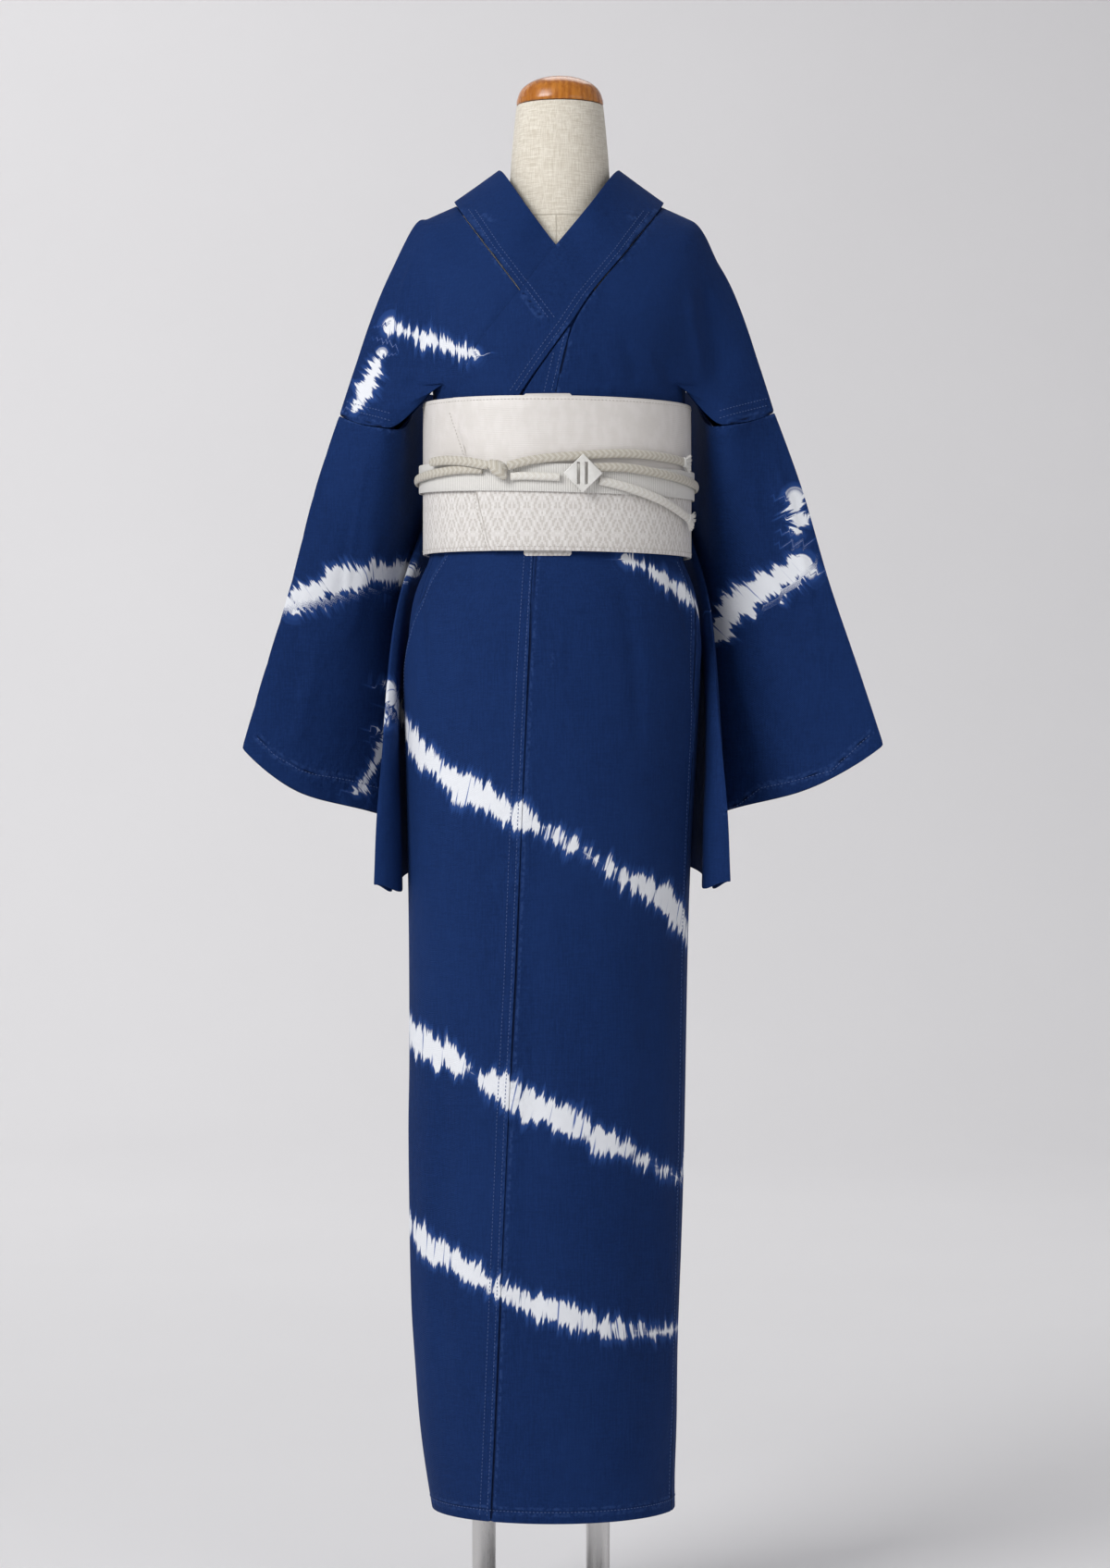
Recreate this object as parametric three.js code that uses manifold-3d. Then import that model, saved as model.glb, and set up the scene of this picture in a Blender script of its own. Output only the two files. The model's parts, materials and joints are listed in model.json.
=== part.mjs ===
// Denim kimono worn on a limbless dress form, with a wrapped obi and a tied obijime.
// Millimetres. +Z up, the wearer faces -Y, the wearer's left side is +X.
// The origin is on the floor, under the centre of the stand's base plate.
import * as THREE from 'three';
import Module from 'manifold-3d';

const manifold = await Module();
manifold.setup();
const { Manifold, Mesh: SolidMesh } = manifold;

// ---------------------------------------------------------------- driving sizes
const DENIM = 1.5;            // one layer of denim
const SEAM_GAP = 0.3;         // clear space left between two sewn pieces
const LAP = 2.5;              // how far a lapped layer stands off the one below
const COLLAR_WALL = 2.4;      // the collar is a folded double band
const CHEST_LAP = 4.3;        // the left front clears the right half of the collar
const HEM_HEIGHT = 118;
const OBI_BOTTOM = 1041;
const OBI_TOP = 1188;
const OBI_WALL = 1.8;
const OBI_CLEAR = 7.5;        // inner turn of the obi, off the trunk surface
const OBI_PITCH = 2.3;        // growth of the obi roll in one turn
const SIDE_SEAM = 73;         // degrees from the front centre line
const FORM_BOTTOM = 610;
const LEG_RADIUS = 11.5;
const LEG_X = [-71, 40];
const BASE = { width: 300, depth: 280, height: 10, corner: 40 };

// ---------------------------------------------------------------- small helpers
const table = (names, rows) =>
  rows.map((row) => Object.fromEntries(names.map((name, i) => [name, row[i]])));
const mix = (a, b, t) => a + (b - a) * t;
const clamp = (v, lo, hi) => Math.min(hi, Math.max(lo, v));
const ease = (t) => { const c = clamp(t, 0, 1); return c * c * (3 - 2 * c); };
const rad = (degrees) => degrees * Math.PI / 180;
const deg = (radians) => radians * 180 / Math.PI;
const mixPoint = (a, b, t) => a.map((v, i) => mix(v, b[i], t));

// Smooth value of one column of a table, read at any value of its leading column.
function read(rows, by, key, at) {
  const rising = rows[rows.length - 1][by] > rows[0][by];
  const list = rising ? rows : [...rows].reverse();
  const x = clamp(at, list[0][by], list[list.length - 1][by]);
  let i = 0;
  while (i < list.length - 2 && x > list[i + 1][by]) i += 1;
  const [a, b] = [list[i], list[i + 1]];
  const step = b[by] - a[by];
  const slope = (p, q) => (q[key] - p[key]) / (q[by] - p[by]);
  const middle = slope(a, b);
  const soften = (m) => (m * middle <= 0 ? 0 : Math.sign(m) * Math.min(Math.abs(m), 2 * Math.abs(middle)));
  const m0 = soften(i > 0 ? (slope(list[i - 1], a) + middle) / 2 : middle) * step;
  const m1 = soften(i + 2 < list.length ? (middle + slope(b, list[i + 2])) / 2 : middle) * step;
  const t = (x - a[by]) / step;
  return (2 * t ** 3 - 3 * t ** 2 + 1) * a[key] + (t ** 3 - 2 * t ** 2 + t) * m0
    + (-2 * t ** 3 + 3 * t ** 2) * b[key] + (t ** 3 - t ** 2) * m1;
}

// Smooth point along a list of points, t running 0..1 over the whole list.
function along(points, t) {
  const stations = points.map((p) => new THREE.Vector3(...p));
  const curve = new THREE.CatmullRomCurve3(stations, false, 'centripetal');
  return curve.getPoint(clamp(t, 0, 1)).toArray();
}

function geometryOf(positions, index) {
  let volume = 0;
  const corner = (i) => new THREE.Vector3(...positions[i]);
  for (let i = 0; i < index.length; i += 3) {
    volume += corner(index[i]).dot(corner(index[i + 1]).cross(corner(index[i + 2])));
  }
  const turned = (v, i) => (i % 3 === 1 ? index[i + 1] : i % 3 === 2 ? index[i - 1] : v);
  const faces = volume < 0 ? index.map(turned) : index;
  const geometry = new THREE.BufferGeometry();
  geometry.setAttribute('position', new THREE.Float32BufferAttribute(positions.flat(), 3));
  geometry.setIndex(faces);
  geometry.computeVertexNormals();
  return geometry;
}

// Unit normal at each point of a grid of points, on the side away from `inside`.
function gridNormals(grid, ringed) {
  const rows = grid.length;
  const cols = grid[0].length;
  const at = (i, j) => {
    const c = ringed ? (j + cols) % cols : clamp(j, 0, cols - 1);
    return new THREE.Vector3(...grid[clamp(i, 0, rows - 1)][c]);
  };
  return grid.map((row, i) => row.map((_, j) => {
    const up = at(i + 1, j).sub(at(i - 1, j));
    const across = at(i, j + 1).sub(at(i, j - 1));
    return across.cross(up).normalize();
  }));
}

// Closed wall of cloth: the grid is its inner face, moved out by `thickness` along the normals.
// Out is away from the wearer's axis, or from the middle of the first ring of a tube.
function clothWall(grid, thickness, ringed = false) {
  const rows = grid.length;
  const cols = grid[0].length;
  const normals = gridNormals(grid, ringed);
  const centre = ringed
    ? [0, 1].map((axis) => grid[0].reduce((sum, p) => sum + p[axis], 0) / cols)
    : [0, 0];
  const probe = ringed ? 0 : Math.floor(cols / 2);
  const [px, py] = grid[0][probe];
  const facing = normals[0][probe].x * (px - centre[0]) + normals[0][probe].y * (py - centre[1]);
  const sign = facing > 0 ? 1 : -1;
  const inner = grid.flat();
  const outer = grid.flatMap((row, i) => row.map((p, j) => normals[i][j].clone()
    .multiplyScalar(sign * thickness).add(new THREE.Vector3(...p)).toArray()));
  const count = inner.length;
  const positions = [...inner, ...outer];
  const index = [];
  const quad = (a, b, c, d) => index.push(a, b, c, a, c, d);
  const id = (i, j) => i * cols + (ringed ? (j + cols) % cols : j);
  const lastCol = ringed ? cols : cols - 1;
  for (let i = 0; i < rows - 1; i += 1) {
    for (let j = 0; j < lastCol; j += 1) {
      quad(id(i, j), id(i, j + 1), id(i + 1, j + 1), id(i + 1, j));
      quad(count + id(i, j), count + id(i + 1, j), count + id(i + 1, j + 1), count + id(i, j + 1));
    }
  }
  for (let j = 0; j < lastCol; j += 1) {
    quad(id(0, j), count + id(0, j), count + id(0, j + 1), id(0, j + 1));
    const k = rows - 1;
    quad(id(k, j), id(k, j + 1), count + id(k, j + 1), count + id(k, j));
  }
  if (!ringed) {
    for (let i = 0; i < rows - 1; i += 1) {
      quad(id(i, 0), id(i + 1, 0), count + id(i + 1, 0), count + id(i, 0));
      const k = cols - 1;
      quad(id(i, k), count + id(i, k), count + id(i + 1, k), id(i + 1, k));
    }
  }
  return geometryOf(positions, index);
}

// Solid skin over closed rings of points, capped flat at both ends (or joined end to end).
function loft(rings, { looped = false } = {}) {
  const size = rings[0].length;
  const positions = rings.flat();
  const index = [];
  const spans = looped ? rings.length : rings.length - 1;
  for (let i = 0; i < spans; i += 1) {
    const next = (i + 1) % rings.length;
    for (let j = 0; j < size; j += 1) {
      const k = (j + 1) % size;
      index.push(i * size + j, i * size + k, next * size + k, i * size + j, next * size + k, next * size + j);
    }
  }
  if (!looped) {
    [[0, -1], [rings.length - 1, 1]].forEach(([ring, way]) => {
      const middle = [0, 1, 2].map((axis) => rings[ring].reduce((sum, p) => sum + p[axis], 0) / size);
      positions.push(middle);
      const centre = positions.length - 1;
      for (let j = 0; j < size; j += 1) {
        const a = ring * size + j;
        const b = ring * size + ((j + 1) % size);
        index.push(...(way > 0 ? [centre, a, b] : [centre, b, a]));
      }
    });
  }
  return geometryOf(positions, index);
}

function toSolid(geometry) {
  return new Manifold(new SolidMesh({
    numProp: 3,
    vertProperties: new Float32Array(geometry.attributes.position.array),
    triVerts: new Uint32Array(geometry.index.array),
  }));
}

function fromSolid(solid) {
  const mesh = solid.getMesh();
  const geometry = new THREE.BufferGeometry();
  geometry.setAttribute('position', new THREE.BufferAttribute(new Float32Array(mesh.vertProperties), 3));
  geometry.setIndex([...mesh.triVerts]);
  geometry.computeVertexNormals();
  return geometry;
}

const join = (geometries) => fromSolid(Manifold.union(geometries.map(toSolid)));
const cut = (geometry, tools) => fromSolid(toSolid(geometry).subtract(Manifold.union(tools.map(toSolid))));

// ---------------------------------------------------------------- trunk surface
// Horizontal sections of the trunk the cloth lies on: centre, half width, depth to front and back.
const TRUNK = table(['z', 'centre', 'half', 'front', 'back'], [
  [118, -3, 115, 91, 91],
  [150, -6, 117.5, 92, 92],
  [206, -8.5, 123, 94, 95],
  [287, -11, 125.5, 97, 99],
  [368, -10.5, 129, 99, 103],
  [530, -9, 131.5, 102, 108],
  [692, -8, 133, 104, 112],
  [780, -7, 136, 105, 115],
  [872, -5, 139.8, 106, 117],
  [930, -4.5, 141.5, 106, 118],
  [960, -3, 140.5, 105, 116],
  [990, -2, 137.5, 103, 112],
  [1013, -1.5, 131.5, 99, 106],
  [1030, -1, 123.5, 93, 98],
  [1040, -0.5, 118.5, 88, 93],
  [1188, 0, 118.5, 88, 92],
  [1200, 0, 120, 88.3, 93],
  [1226, 1, 127, 91, 98],
  [1258, 1.5, 135, 89, 99],
  [1286, 2, 141, 82, 95],
  [1312, 2, 144, 71, 88],
  [1335, 2, 143, 59, 78],
  [1352, 2, 140, 46, 64],
  [1366, 2, 134, 33, 47],
  [1376, 2, 123, 22, 34],
  [1384, 2, 106, 12, 20],
]);

const trunk = (z) => ({
  centre: read(TRUNK, 'z', 'centre', z),
  half: read(TRUNK, 'z', 'half', z),
  front: read(TRUNK, 'z', 'front', z),
  back: read(TRUNK, 'z', 'back', z),
});

// Point on the trunk surface at an angle from the front centre (plus towards +X), moved out by `off`.
function onTrunk(angle, z, off) {
  const s = trunk(z);
  const deep = Math.cos(rad(angle)) > 0 ? s.front : s.back;
  return [s.centre + (s.half + off) * Math.sin(rad(angle)), -(deep + off) * Math.cos(rad(angle)), z];
}

// Angle on the trunk whose point has the given x; `rear` picks the back of the trunk.
function angleAt(x, z, off, rear = false) {
  const s = trunk(z);
  const a = deg(Math.asin(clamp((x - s.centre) / (s.half + off), -1, 1)));
  return rear ? 180 - a : a;
}

const layOn = (x, z, off, rear = false) => onTrunk(angleAt(x, z, off, rear), z, off);

// ---------------------------------------------------------------- collar band
// Stations along the band, from the lower left end, round the neck, to the hidden right end.
// "in" is the neck edge, "out" the seam edge; where `lies` is 1 the band follows the chest.
const COLLAR = table(['inX', 'inY', 'inZ', 'outX', 'outY', 'outZ', 'lies', 'rear', 'off'], [
  [-106, 0, 1161, -50, 0, 1161, 1, 0, CHEST_LAP],
  [-96, 0, 1192, -33, 0, 1193, 1, 0, CHEST_LAP],
  [-79, 0, 1233, -9.7, 0, 1226, 1, 0, CHEST_LAP],
  [-40, 0, 1283, 14, 0, 1258.6, 1, 0, CHEST_LAP],
  [-0.9, 0, 1335, 31.6, 0, 1286, 1, 0, CHEST_LAP],
  [28.5, -53, 1372, 67, -59, 1331, 0, 0, 3],
  [57.6, -6, 1415, 104, 4, 1385, 0, 0, 1],
  [60, 28, 1411, 92, 26, 1378, 0, 1, 0],
  [47, 54, 1402, 66, 50, 1363, 0, 1, 0],
  [26, 68, 1396, 35, 68, 1350, 0, 1, 0],
  [1, 73, 1391, 1, 79, 1338, 0, 1, 0],
  [-24, 68, 1396, -32, 68, 1350, 0, 1, 0],
  [-44, 54, 1402, -62, 50, 1363, 0, 1, 0],
  [-56, 28, 1411, -88, 26, 1378, 0, 1, 0],
  [-53.5, -6, 1415, -99.5, 4, 1386, 0, 0, 0],
  [-26.5, -53, 1371, -66, -56, 1334, 0, 0, 0],
  [0.9, 0, 1333, -35, 0, 1291, 1, 0, 0],
  [40, 0, 1283, -12, 0, 1258.6, 1, 0, 0],
  [79, 0, 1233, 12, 0, 1226, 1, 0, 0],
  [96, 0, 1196, 36, 0, 1196, 1, 0, 0],
]);
const NECK_STATION = 10;
const LAST_STATION = COLLAR.length - 1;

const collarEnds = ['in', 'out'].map((side) => COLLAR.map((s) => {
  const [x, y, z] = [s[`${side}X`], s[`${side}Y`], s[`${side}Z`]];
  return s.lies ? layOn(x, z, s.off) : [x, y, z];
}));

// Point of the collar band: station number and share of its width (0 neck edge, 1 seam edge).
function collarPoint(station, share) {
  const [inner, outer] = collarEnds.map((points) => along(points, station / LAST_STATION));
  const point = mixPoint(inner, outer, share);
  const i = Math.min(Math.floor(station), LAST_STATION - 1);
  const t = station - i;
  const lies = mix(COLLAR[i].lies, COLLAR[i + 1].lies, t);
  const off = mix(COLLAR[i].off, COLLAR[i + 1].off, t);
  if (lies > 0) point[1] = mix(point[1], layOn(point[0], point[2], off)[1], ease(lies));
  return point;
}

const COLLAR_WIDTH = 55;
const besideCollar = (station) => {
  const behindNeck = ease((3.8 - Math.abs(station - NECK_STATION)) / 0.8);
  return collarPoint(station, 1 + (SEAM_GAP + mix(0.7, 2.8, behindNeck)) / COLLAR_WIDTH);
};

function collarGeometry() {
  const stations = 66;
  const shares = [0, 0.35, 0.7, 1];
  const grid = [];
  for (let i = 0; i <= stations; i += 1) {
    grid.push(shares.map((share) => collarPoint(i * LAST_STATION / stations, share)));
  }
  return clothWall(grid, COLLAR_WALL);
}

// ---------------------------------------------------------------- sleeves
// Horizontal path of the flattened bag at stations from the armhole to the cuff, on the +X side.
// The cloth runs inwards from the top fold, turns behind the body and returns to a lip in front.
const SLEEVE = table(
  ['foldX', 'foldY', 'foldZ', 'panelX', 'panelY', 'turnX', 'turnY', 'tipX', 'tipY', 'hookX', 'hookY',
    'backX', 'backY', 'sideX', 'sideY', 'frontX', 'frontY', 'lipX', 'lipY', 'drop', 'spread'],
  [
    [211, 5, 1182, 183, 8, 157, 16, 140, 78, 122, 104, 114, 110, 109, 112, 105, 112, 101, 110, 40, 36],
    [240, 4, 1103, 188, 14, 160, 42, 134, 100, 108, 110, 104, 94, 124, 76, 139, 54, 149, 30, 96, 20],
    [263, 4, 1021, 205, 18, 162, 58, 132, 107, 106, 108, 114, 87, 150, 30, 150, -14, 155, -34, 135, 6],
    [291, 4, 940, 222, 20, 164, 60, 132, 109, 105, 108, 115, 88, 152, 24, 147, -28, 164, -45, 152, 5],
    [318, 4, 858, 240, 20, 166, 60, 131, 109, 104, 108, 114, 89, 151, 24, 145, -28, 166, -46, 158, 5],
  ],
);
const SLEEVE_PATH = ['fold', 'panel', 'turn', 'tip', 'hook', 'back', 'side', 'front', 'lip'];
const BAG_HALF = 4.6;
const ARMHOLE_END = 0.25;
const LEFT_SHIFT = 9;          // the body is wider on the -X side
const LEFT_NARROWER = 12;

function sleeveStation(u, side) {
  const rows = SLEEVE.map((row, i) => ({ ...row, u: i / (SLEEVE.length - 1) }));
  const value = (key) => read(rows, 'u', key, u);
  const points = SLEEVE_PATH.map((name, i) => {
    const x = value(`${name}X`);
    const shift = side > 0 ? 0 : (i === 0 ? -LEFT_NARROWER * u : LEFT_SHIFT * Math.min(1, u * 2 + 0.2));
    return [x + shift, value(`${name}Y`), 0];
  });
  return { points, top: value('foldZ') - (side > 0 ? 0 : 3), drop: value('drop'), spread: value('spread') };
}

// Beside the obi the free inner edge stands up again, so that it closes the armpit from behind.
const ARMPIT_RISE = 53;
const armpitRise = (u, v) => ARMPIT_RISE * (1 - ease(u / 0.4))
  * ease((v - 0.26) / 0.17) * (1 - ease((v - 0.56) / 0.2));

// Height lost by the cloth at share v of the bag's depth; the outer corner falls fastest.
const sleeveFall = (v) => 0.8 * v + 0.2 * (1 - (1 - Math.min(1, v / 0.15)) ** 2);

// Point of the sleeve's inner face. layer +1 is the front of the bag, -1 its back.
function sleevePoint(side, u, v, layer) {
  const { points, top, drop, spread } = sleeveStation(u, side);
  const here = along(points, v);
  const ahead = along(points, Math.min(1, v + 0.01));
  const behind = along(points, Math.max(0, v - 0.01));
  const way = new THREE.Vector2(ahead[0] - behind[0], ahead[1] - behind[1]).normalize();
  const closing = Math.sqrt(clamp(Math.min(v, 1 - v) / 0.05, 0, 1));
  const wide = Math.max(0, spread - BAG_HALF) * ease(v / 0.22) * (1 - ease((v - 0.27) / 0.2));
  const x = here[0] - way.y * BAG_HALF * closing * layer;
  const y = here[1] + way.x * BAG_HALF * closing * layer - wide * layer;
  const corner = 26 * ease((u - 0.88) / 0.12) * ease((v - 0.86) / 0.14);
  return [side * x, y, top - drop * sleeveFall(v) + corner + armpitRise(u, v)];
}

function sleeveGeometry(side) {
  const rows = 9;
  const half = 18;
  const depths = Array.from({ length: half + 1 }, (_, k) => (k === 1 ? 0.035 : k === half - 1 ? 0.97 : k / half));
  const grid = [];
  for (let i = 0; i < rows; i += 1) {
    const u = i / (rows - 1);
    const drop = i === 0 ? SEAM_GAP + 0.2 : 0;
    const ring = [
      ...depths.map((v) => sleevePoint(side, u, v, 1)),
      ...depths.slice(1, -1).reverse().map((v) => sleevePoint(side, u, v, -1)),
    ];
    grid.push(ring.map(([x, y, z]) => [x, y, z - drop]));
  }
  return clothWall(grid, DENIM, true);
}

// ---------------------------------------------------------------- body panels
// x of the seam between the left front and its overlap (okumi), by height.
const OKUMI_SEAM = table(['z', 'x'], [
  [118, -62.5], [194, -59], [405, -50], [523, -45], [633, -39], [786, -33], [923, -27],
  [1037, -22], [1193, -1], [1258.6, 14],
]);
// Angle of the free edge of the left overlap, by height.
const OVERLAP_EDGE = table(['z', 'angle'], [
  [118, -98], [600, -100], [860, -97], [932, -90], [962, -79], [1007, -67], [1043, -60], [1134, -60],
]);
// Bodice rows on the +X side, from the shoulder line forwards and down, then backwards and down.
// `station` is the place on the collar; the row runs over the trunk to `side`, dips at `trough`
// and ends on the armhole at share `arm` (front positive, back negative, 2 = below the armhole).
const BODICE = table(
  ['station', 'edgeZ', 'sideX', 'sideZ', 'troughX', 'troughY', 'troughZ', 'arm', 'lap'],
  [
    [0, 1206, 96, 1206, 106, 0, 1206, 2, 1],
    [2, 1228, 117, 1228, 141, -22, 1204, 1, 1],
    [3, 1258.6, 126, 1252, 146, -22, 1215, 0.8, 1],
    [4, 1286, 130, 1280, 152, -17, 1228, 0.6, 1],
    [4.6, 1312, 132, 1312, 160, -13, 1244, 0.42, 0.95],
    [5.2, 1345, 135, 1341, 167, -9, 1261, 0.26, 0.8],
    [5.6, 1366, 137, 1357, 172, -3, 1276, 0.12, 0.5],
    [6, 1385, 139, 1367, 177, 4, 1288, 0, 0.25],
    [7, 1378, 136, 1357, 169, 14, 1266, -0.2, 0],
    [8, 1363, 133, 1335, 162, 24, 1246, -0.4, 0],
    [9, 1350, 131, 1308, 154, 32, 1230, -0.6, 0],
    [10, 1338, 129, 1278, 149, 38, 1217, -0.8, 0],
    [10, 1290, 124, 1244, 143, 40, 1206, -1, 0],
    [10, 1206, 96, 1206, 106, 0, 1206, -2, 0],
  ],
);
const SKIRT_HEIGHTS = [
  HEM_HEIGHT, 150, 200, 270, 360, 450, 540, 630, 720, 800,
  870, 925, 960, 990, 1012, 1030, 1040, 1118, 1165,
];
const BODY_COLUMNS = 8;
const BODICE_BREAK = 52;       // degrees, where the chest turns to the side above the obi
const OKUMI_COLUMNS = 7;

const lapAt = (z) => mix(LAP, CHEST_LAP, ease((z - 1118) / 45));
const okumiSeamX = (z, side) => {
  const x = read(OKUMI_SEAM, 'z', 'x', z);
  return side > 0 ? x : 3 - x;
};

// Stand-off of the right-hand layers: level with the left ones until they slip under the overlap.
function rightOff(angle, z) {
  const edge = Math.abs(read(OVERLAP_EDGE, 'z', 'angle', z));
  const outside = ease((Math.abs(angle) - edge - 5) / 8);
  return (z > 1134 ? ease((Math.abs(angle) - 120) / 30) * LAP : outside * LAP);
}
const layerOff = (side, angle, z) => {
  if (side < 0) return rightOff(angle, z);
  return Math.abs(angle) > 90 ? LAP : lapAt(z);
};

function skirtRow(side, z, rear, middle = null) {
  const seamShare = 0.75 * SEAM_GAP / 130;
  const inner = rear ? 180 - deg(seamShare)
    : side * (angleAt(okumiSeamX(z, side), z, LAP)) + deg(seamShare);
  const outer = SIDE_SEAM + (rear ? 1 : -1) * deg(seamShare);
  return Array.from({ length: BODY_COLUMNS + 1 }, (_, j) => {
    const half = j / BODY_COLUMNS;
    const angle = middle === null ? mix(inner, outer, half)
      : half < 0.5 ? mix(inner, middle, 2 * half) : mix(middle, outer, 2 * half - 1);
    return onTrunk(side * angle, z, layerOff(side, side * angle, z));
  });
}

function bodiceRow(side, row) {
  const rear = row.arm < 0;
  const mirror = ([x, y, z]) => [side * x + (side > 0 ? 0 : 1.5), y, z];
  if (Math.abs(row.arm) === 2) {
    return skirtRow(side, row.edgeZ, rear, rear ? 180 - BODICE_BREAK : BODICE_BREAK);
  }
  const station = side > 0 ? row.station : 2 * NECK_STATION - row.station;
  const off = side > 0 ? row.lap * CHEST_LAP : 0;
  let edge;
  if (row.station >= 3 && !(row.station === 10 && row.edgeZ < 1330)) edge = besideCollar(station);
  else if (rear) edge = [1 + side * SEAM_GAP / 2, trunk(row.edgeZ).back, row.edgeZ];
  else edge = layOn(okumiSeamX(row.edgeZ, side) + side * SEAM_GAP / 2, row.edgeZ, off);
  if (row.station === 10 && row.edgeZ > 1330) edge[0] = 1 + side * SEAM_GAP / 2;
  const shoulder = mirror([row.sideX, 3, row.sideZ]);
  if (row.arm !== 0) shoulder[1] = layOn(shoulder[0], shoulder[2], off, rear)[1];
  const trough = mirror([row.troughX, row.troughY, row.troughZ]);
  const outer = sleevePoint(side, 0, Math.abs(row.arm) * ARMHOLE_END, rear ? -1 : 1);
  outer[2] += SEAM_GAP;
  return Array.from({ length: BODY_COLUMNS + 1 }, (_, j) => {
    if (j <= 4) {
      const t = j / 4;
      const [x, y, z] = mixPoint(edge, shoulder, t);
      return row.arm === 0 || t === 0 ? [x, y, z] : layOn(x, z, off, rear);
    }
    if (j <= 6) return mixPoint(shoulder, trough, (j - 4) / 2);
    return mixPoint(trough, outer, (j - 6) / 2);
  });
}

function bodyGeometry(side) {
  const grid = [
    ...SKIRT_HEIGHTS.map((z) => skirtRow(side, z, false)),
    ...BODICE.map((row) => bodiceRow(side, row)),
    ...[...SKIRT_HEIGHTS].reverse().map((z) => skirtRow(side, z, true)),
  ];
  return clothWall(grid, DENIM);
}

// Overlap piece (okumi): from its seam to the free edge, its top running into the collar.
function okumiGeometry(side) {
  const slants = side > 0 ? [[1134, -60], [1146, -43]] : [[1134, 76], [1146, 56], [1158, 37]];
  const besides = side > 0
    ? [[1158, 0.05], [1193, 1], [1226, 2], [1253, 2.82]]
    : [[1170, 19], [1193, 19], [1226, 18], [1251, 17.2]];
  const seamShare = deg(0.75 * SEAM_GAP / 130);
  const offAt = (z) => (side > 0 ? lapAt(z) : 0);
  const rowTo = (z, to) => {
    const from = angleAt(okumiSeamX(z, side), z, LAP) - side * seamShare;
    return Array.from({ length: OKUMI_COLUMNS + 1 },
      (_, j) => onTrunk(mix(from, to, j / OKUMI_COLUMNS), z, offAt(z)));
  };
  const free = (z) => (side > 0 ? read(OVERLAP_EDGE, 'z', 'angle', z) : 76);
  const grid = [
    ...SKIRT_HEIGHTS.filter((z) => z < 1130).map((z) => rowTo(z, free(z))),
    ...slants.map(([z, angle]) => rowTo(z, angle)),
    ...besides.map(([z, station]) => rowTo(z, angleAt(besideCollar(station)[0], z, offAt(z)))),
  ];
  return clothWall(grid, DENIM);
}

// ---------------------------------------------------------------- obi and its cord
const OBI_DIAGONAL = table(['z', 'angle'], [[1041, -29], [1120, -39], [1188, -51]]);
const OBI_TURNS = 2;
const OBI_STEPS = 84;

function obiGeometry() {
  const grid = [];
  for (let i = 0; i <= OBI_STEPS; i += 1) {
    const turned = i / OBI_STEPS * (360 * OBI_TURNS - 12);
    const off = OBI_CLEAR + OBI_PITCH * (OBI_TURNS - turned / 360);
    grid.push([0, 1 / 3, 2 / 3, 1].map((share) => {
      const flat = mix(OBI_BOTTOM, OBI_TOP, share);
      const angle = read(OBI_DIAGONAL, 'z', 'angle', flat) * (1 - ease(turned / 300)) + turned;
      const [x, y] = onTrunk(angle, 1115, off);
      return [x, y, flat - 0.012 * x];
    }));
  }
  return clothWall(grid, OBI_WALL);
}

// Stiffening strip standing behind the obi at the front.
function stayGeometry() {
  const grid = [];
  for (let i = 0; i <= 6; i += 1) {
    const x = mix(-31.5, 14, i / 6);
    grid.push([1036.5, 1115, 1190.5].map((z) => {
      const [px, py] = layOn(x, 1115, CHEST_LAP + DENIM + 0.65);
      return [px, py, z];
    }));
  }
  return clothWall(grid, 0.5);
}

const BAND = { off: 14.6, wall: 1.2, height: 27 };
const CORD = { off: 18.6, wide: 9, thick: 4.4 };

// Heights of the cord pieces round the obi, by angle.
const bandHeight = (angle) => 1112 + 3.5 * Math.sin(rad(angle)) * -1 - 2 * Math.cos(rad(angle));

function bandGeometry() {
  const steps = 56;
  const rings = [];
  for (let i = 0; i < steps; i += 1) {
    const angle = i / steps * 360;
    const z = bandHeight(angle);
    const [ix, iy] = onTrunk(angle, 1115, BAND.off);
    const [ox, oy] = onTrunk(angle, 1115, BAND.off + BAND.wall);
    const [low, high] = [z - BAND.height / 2, z + BAND.height / 2];
    rings.push([[ix, iy, low], [ox, oy, low], [ox, oy, high], [ix, iy, high]]);
  }
  return loft(rings, { looped: true });
}

// Flattened braid laid on the obi along a list of [angle, height, extra stand-off].
function braid(stops, { wide = CORD.wide, thick = CORD.thick, steps = 16, sides = 10, taper = 1 } = {}) {
  const middle = [];
  for (let i = 0; i <= steps; i += 1) {
    const [angle, z, lift] = along(stops, i / steps);
    const [x, y] = onTrunk(angle, 1115, CORD.off + lift);
    middle.push(new THREE.Vector3(x, y, z));
  }
  const rings = middle.map((centre, i) => {
    const way = middle[Math.min(i + 1, steps)].clone().sub(middle[Math.max(i - 1, 0)]).normalize();
    const out = new THREE.Vector3(centre.x, centre.y * 1.8, 0).normalize();
    const up = out.clone().cross(way).normalize();
    const away = way.clone().cross(up).normalize();
    const end = i === 0 || i === steps ? taper : 1;
    return Array.from({ length: sides }, (_, k) => {
      const a = k / sides * 2 * Math.PI;
      return centre.clone().addScaledVector(up, Math.cos(a) * wide / 2 * end)
        .addScaledVector(away, Math.sin(a) * thick / 2 * end).toArray();
    });
  });
  return loft(rings);
}

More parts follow.
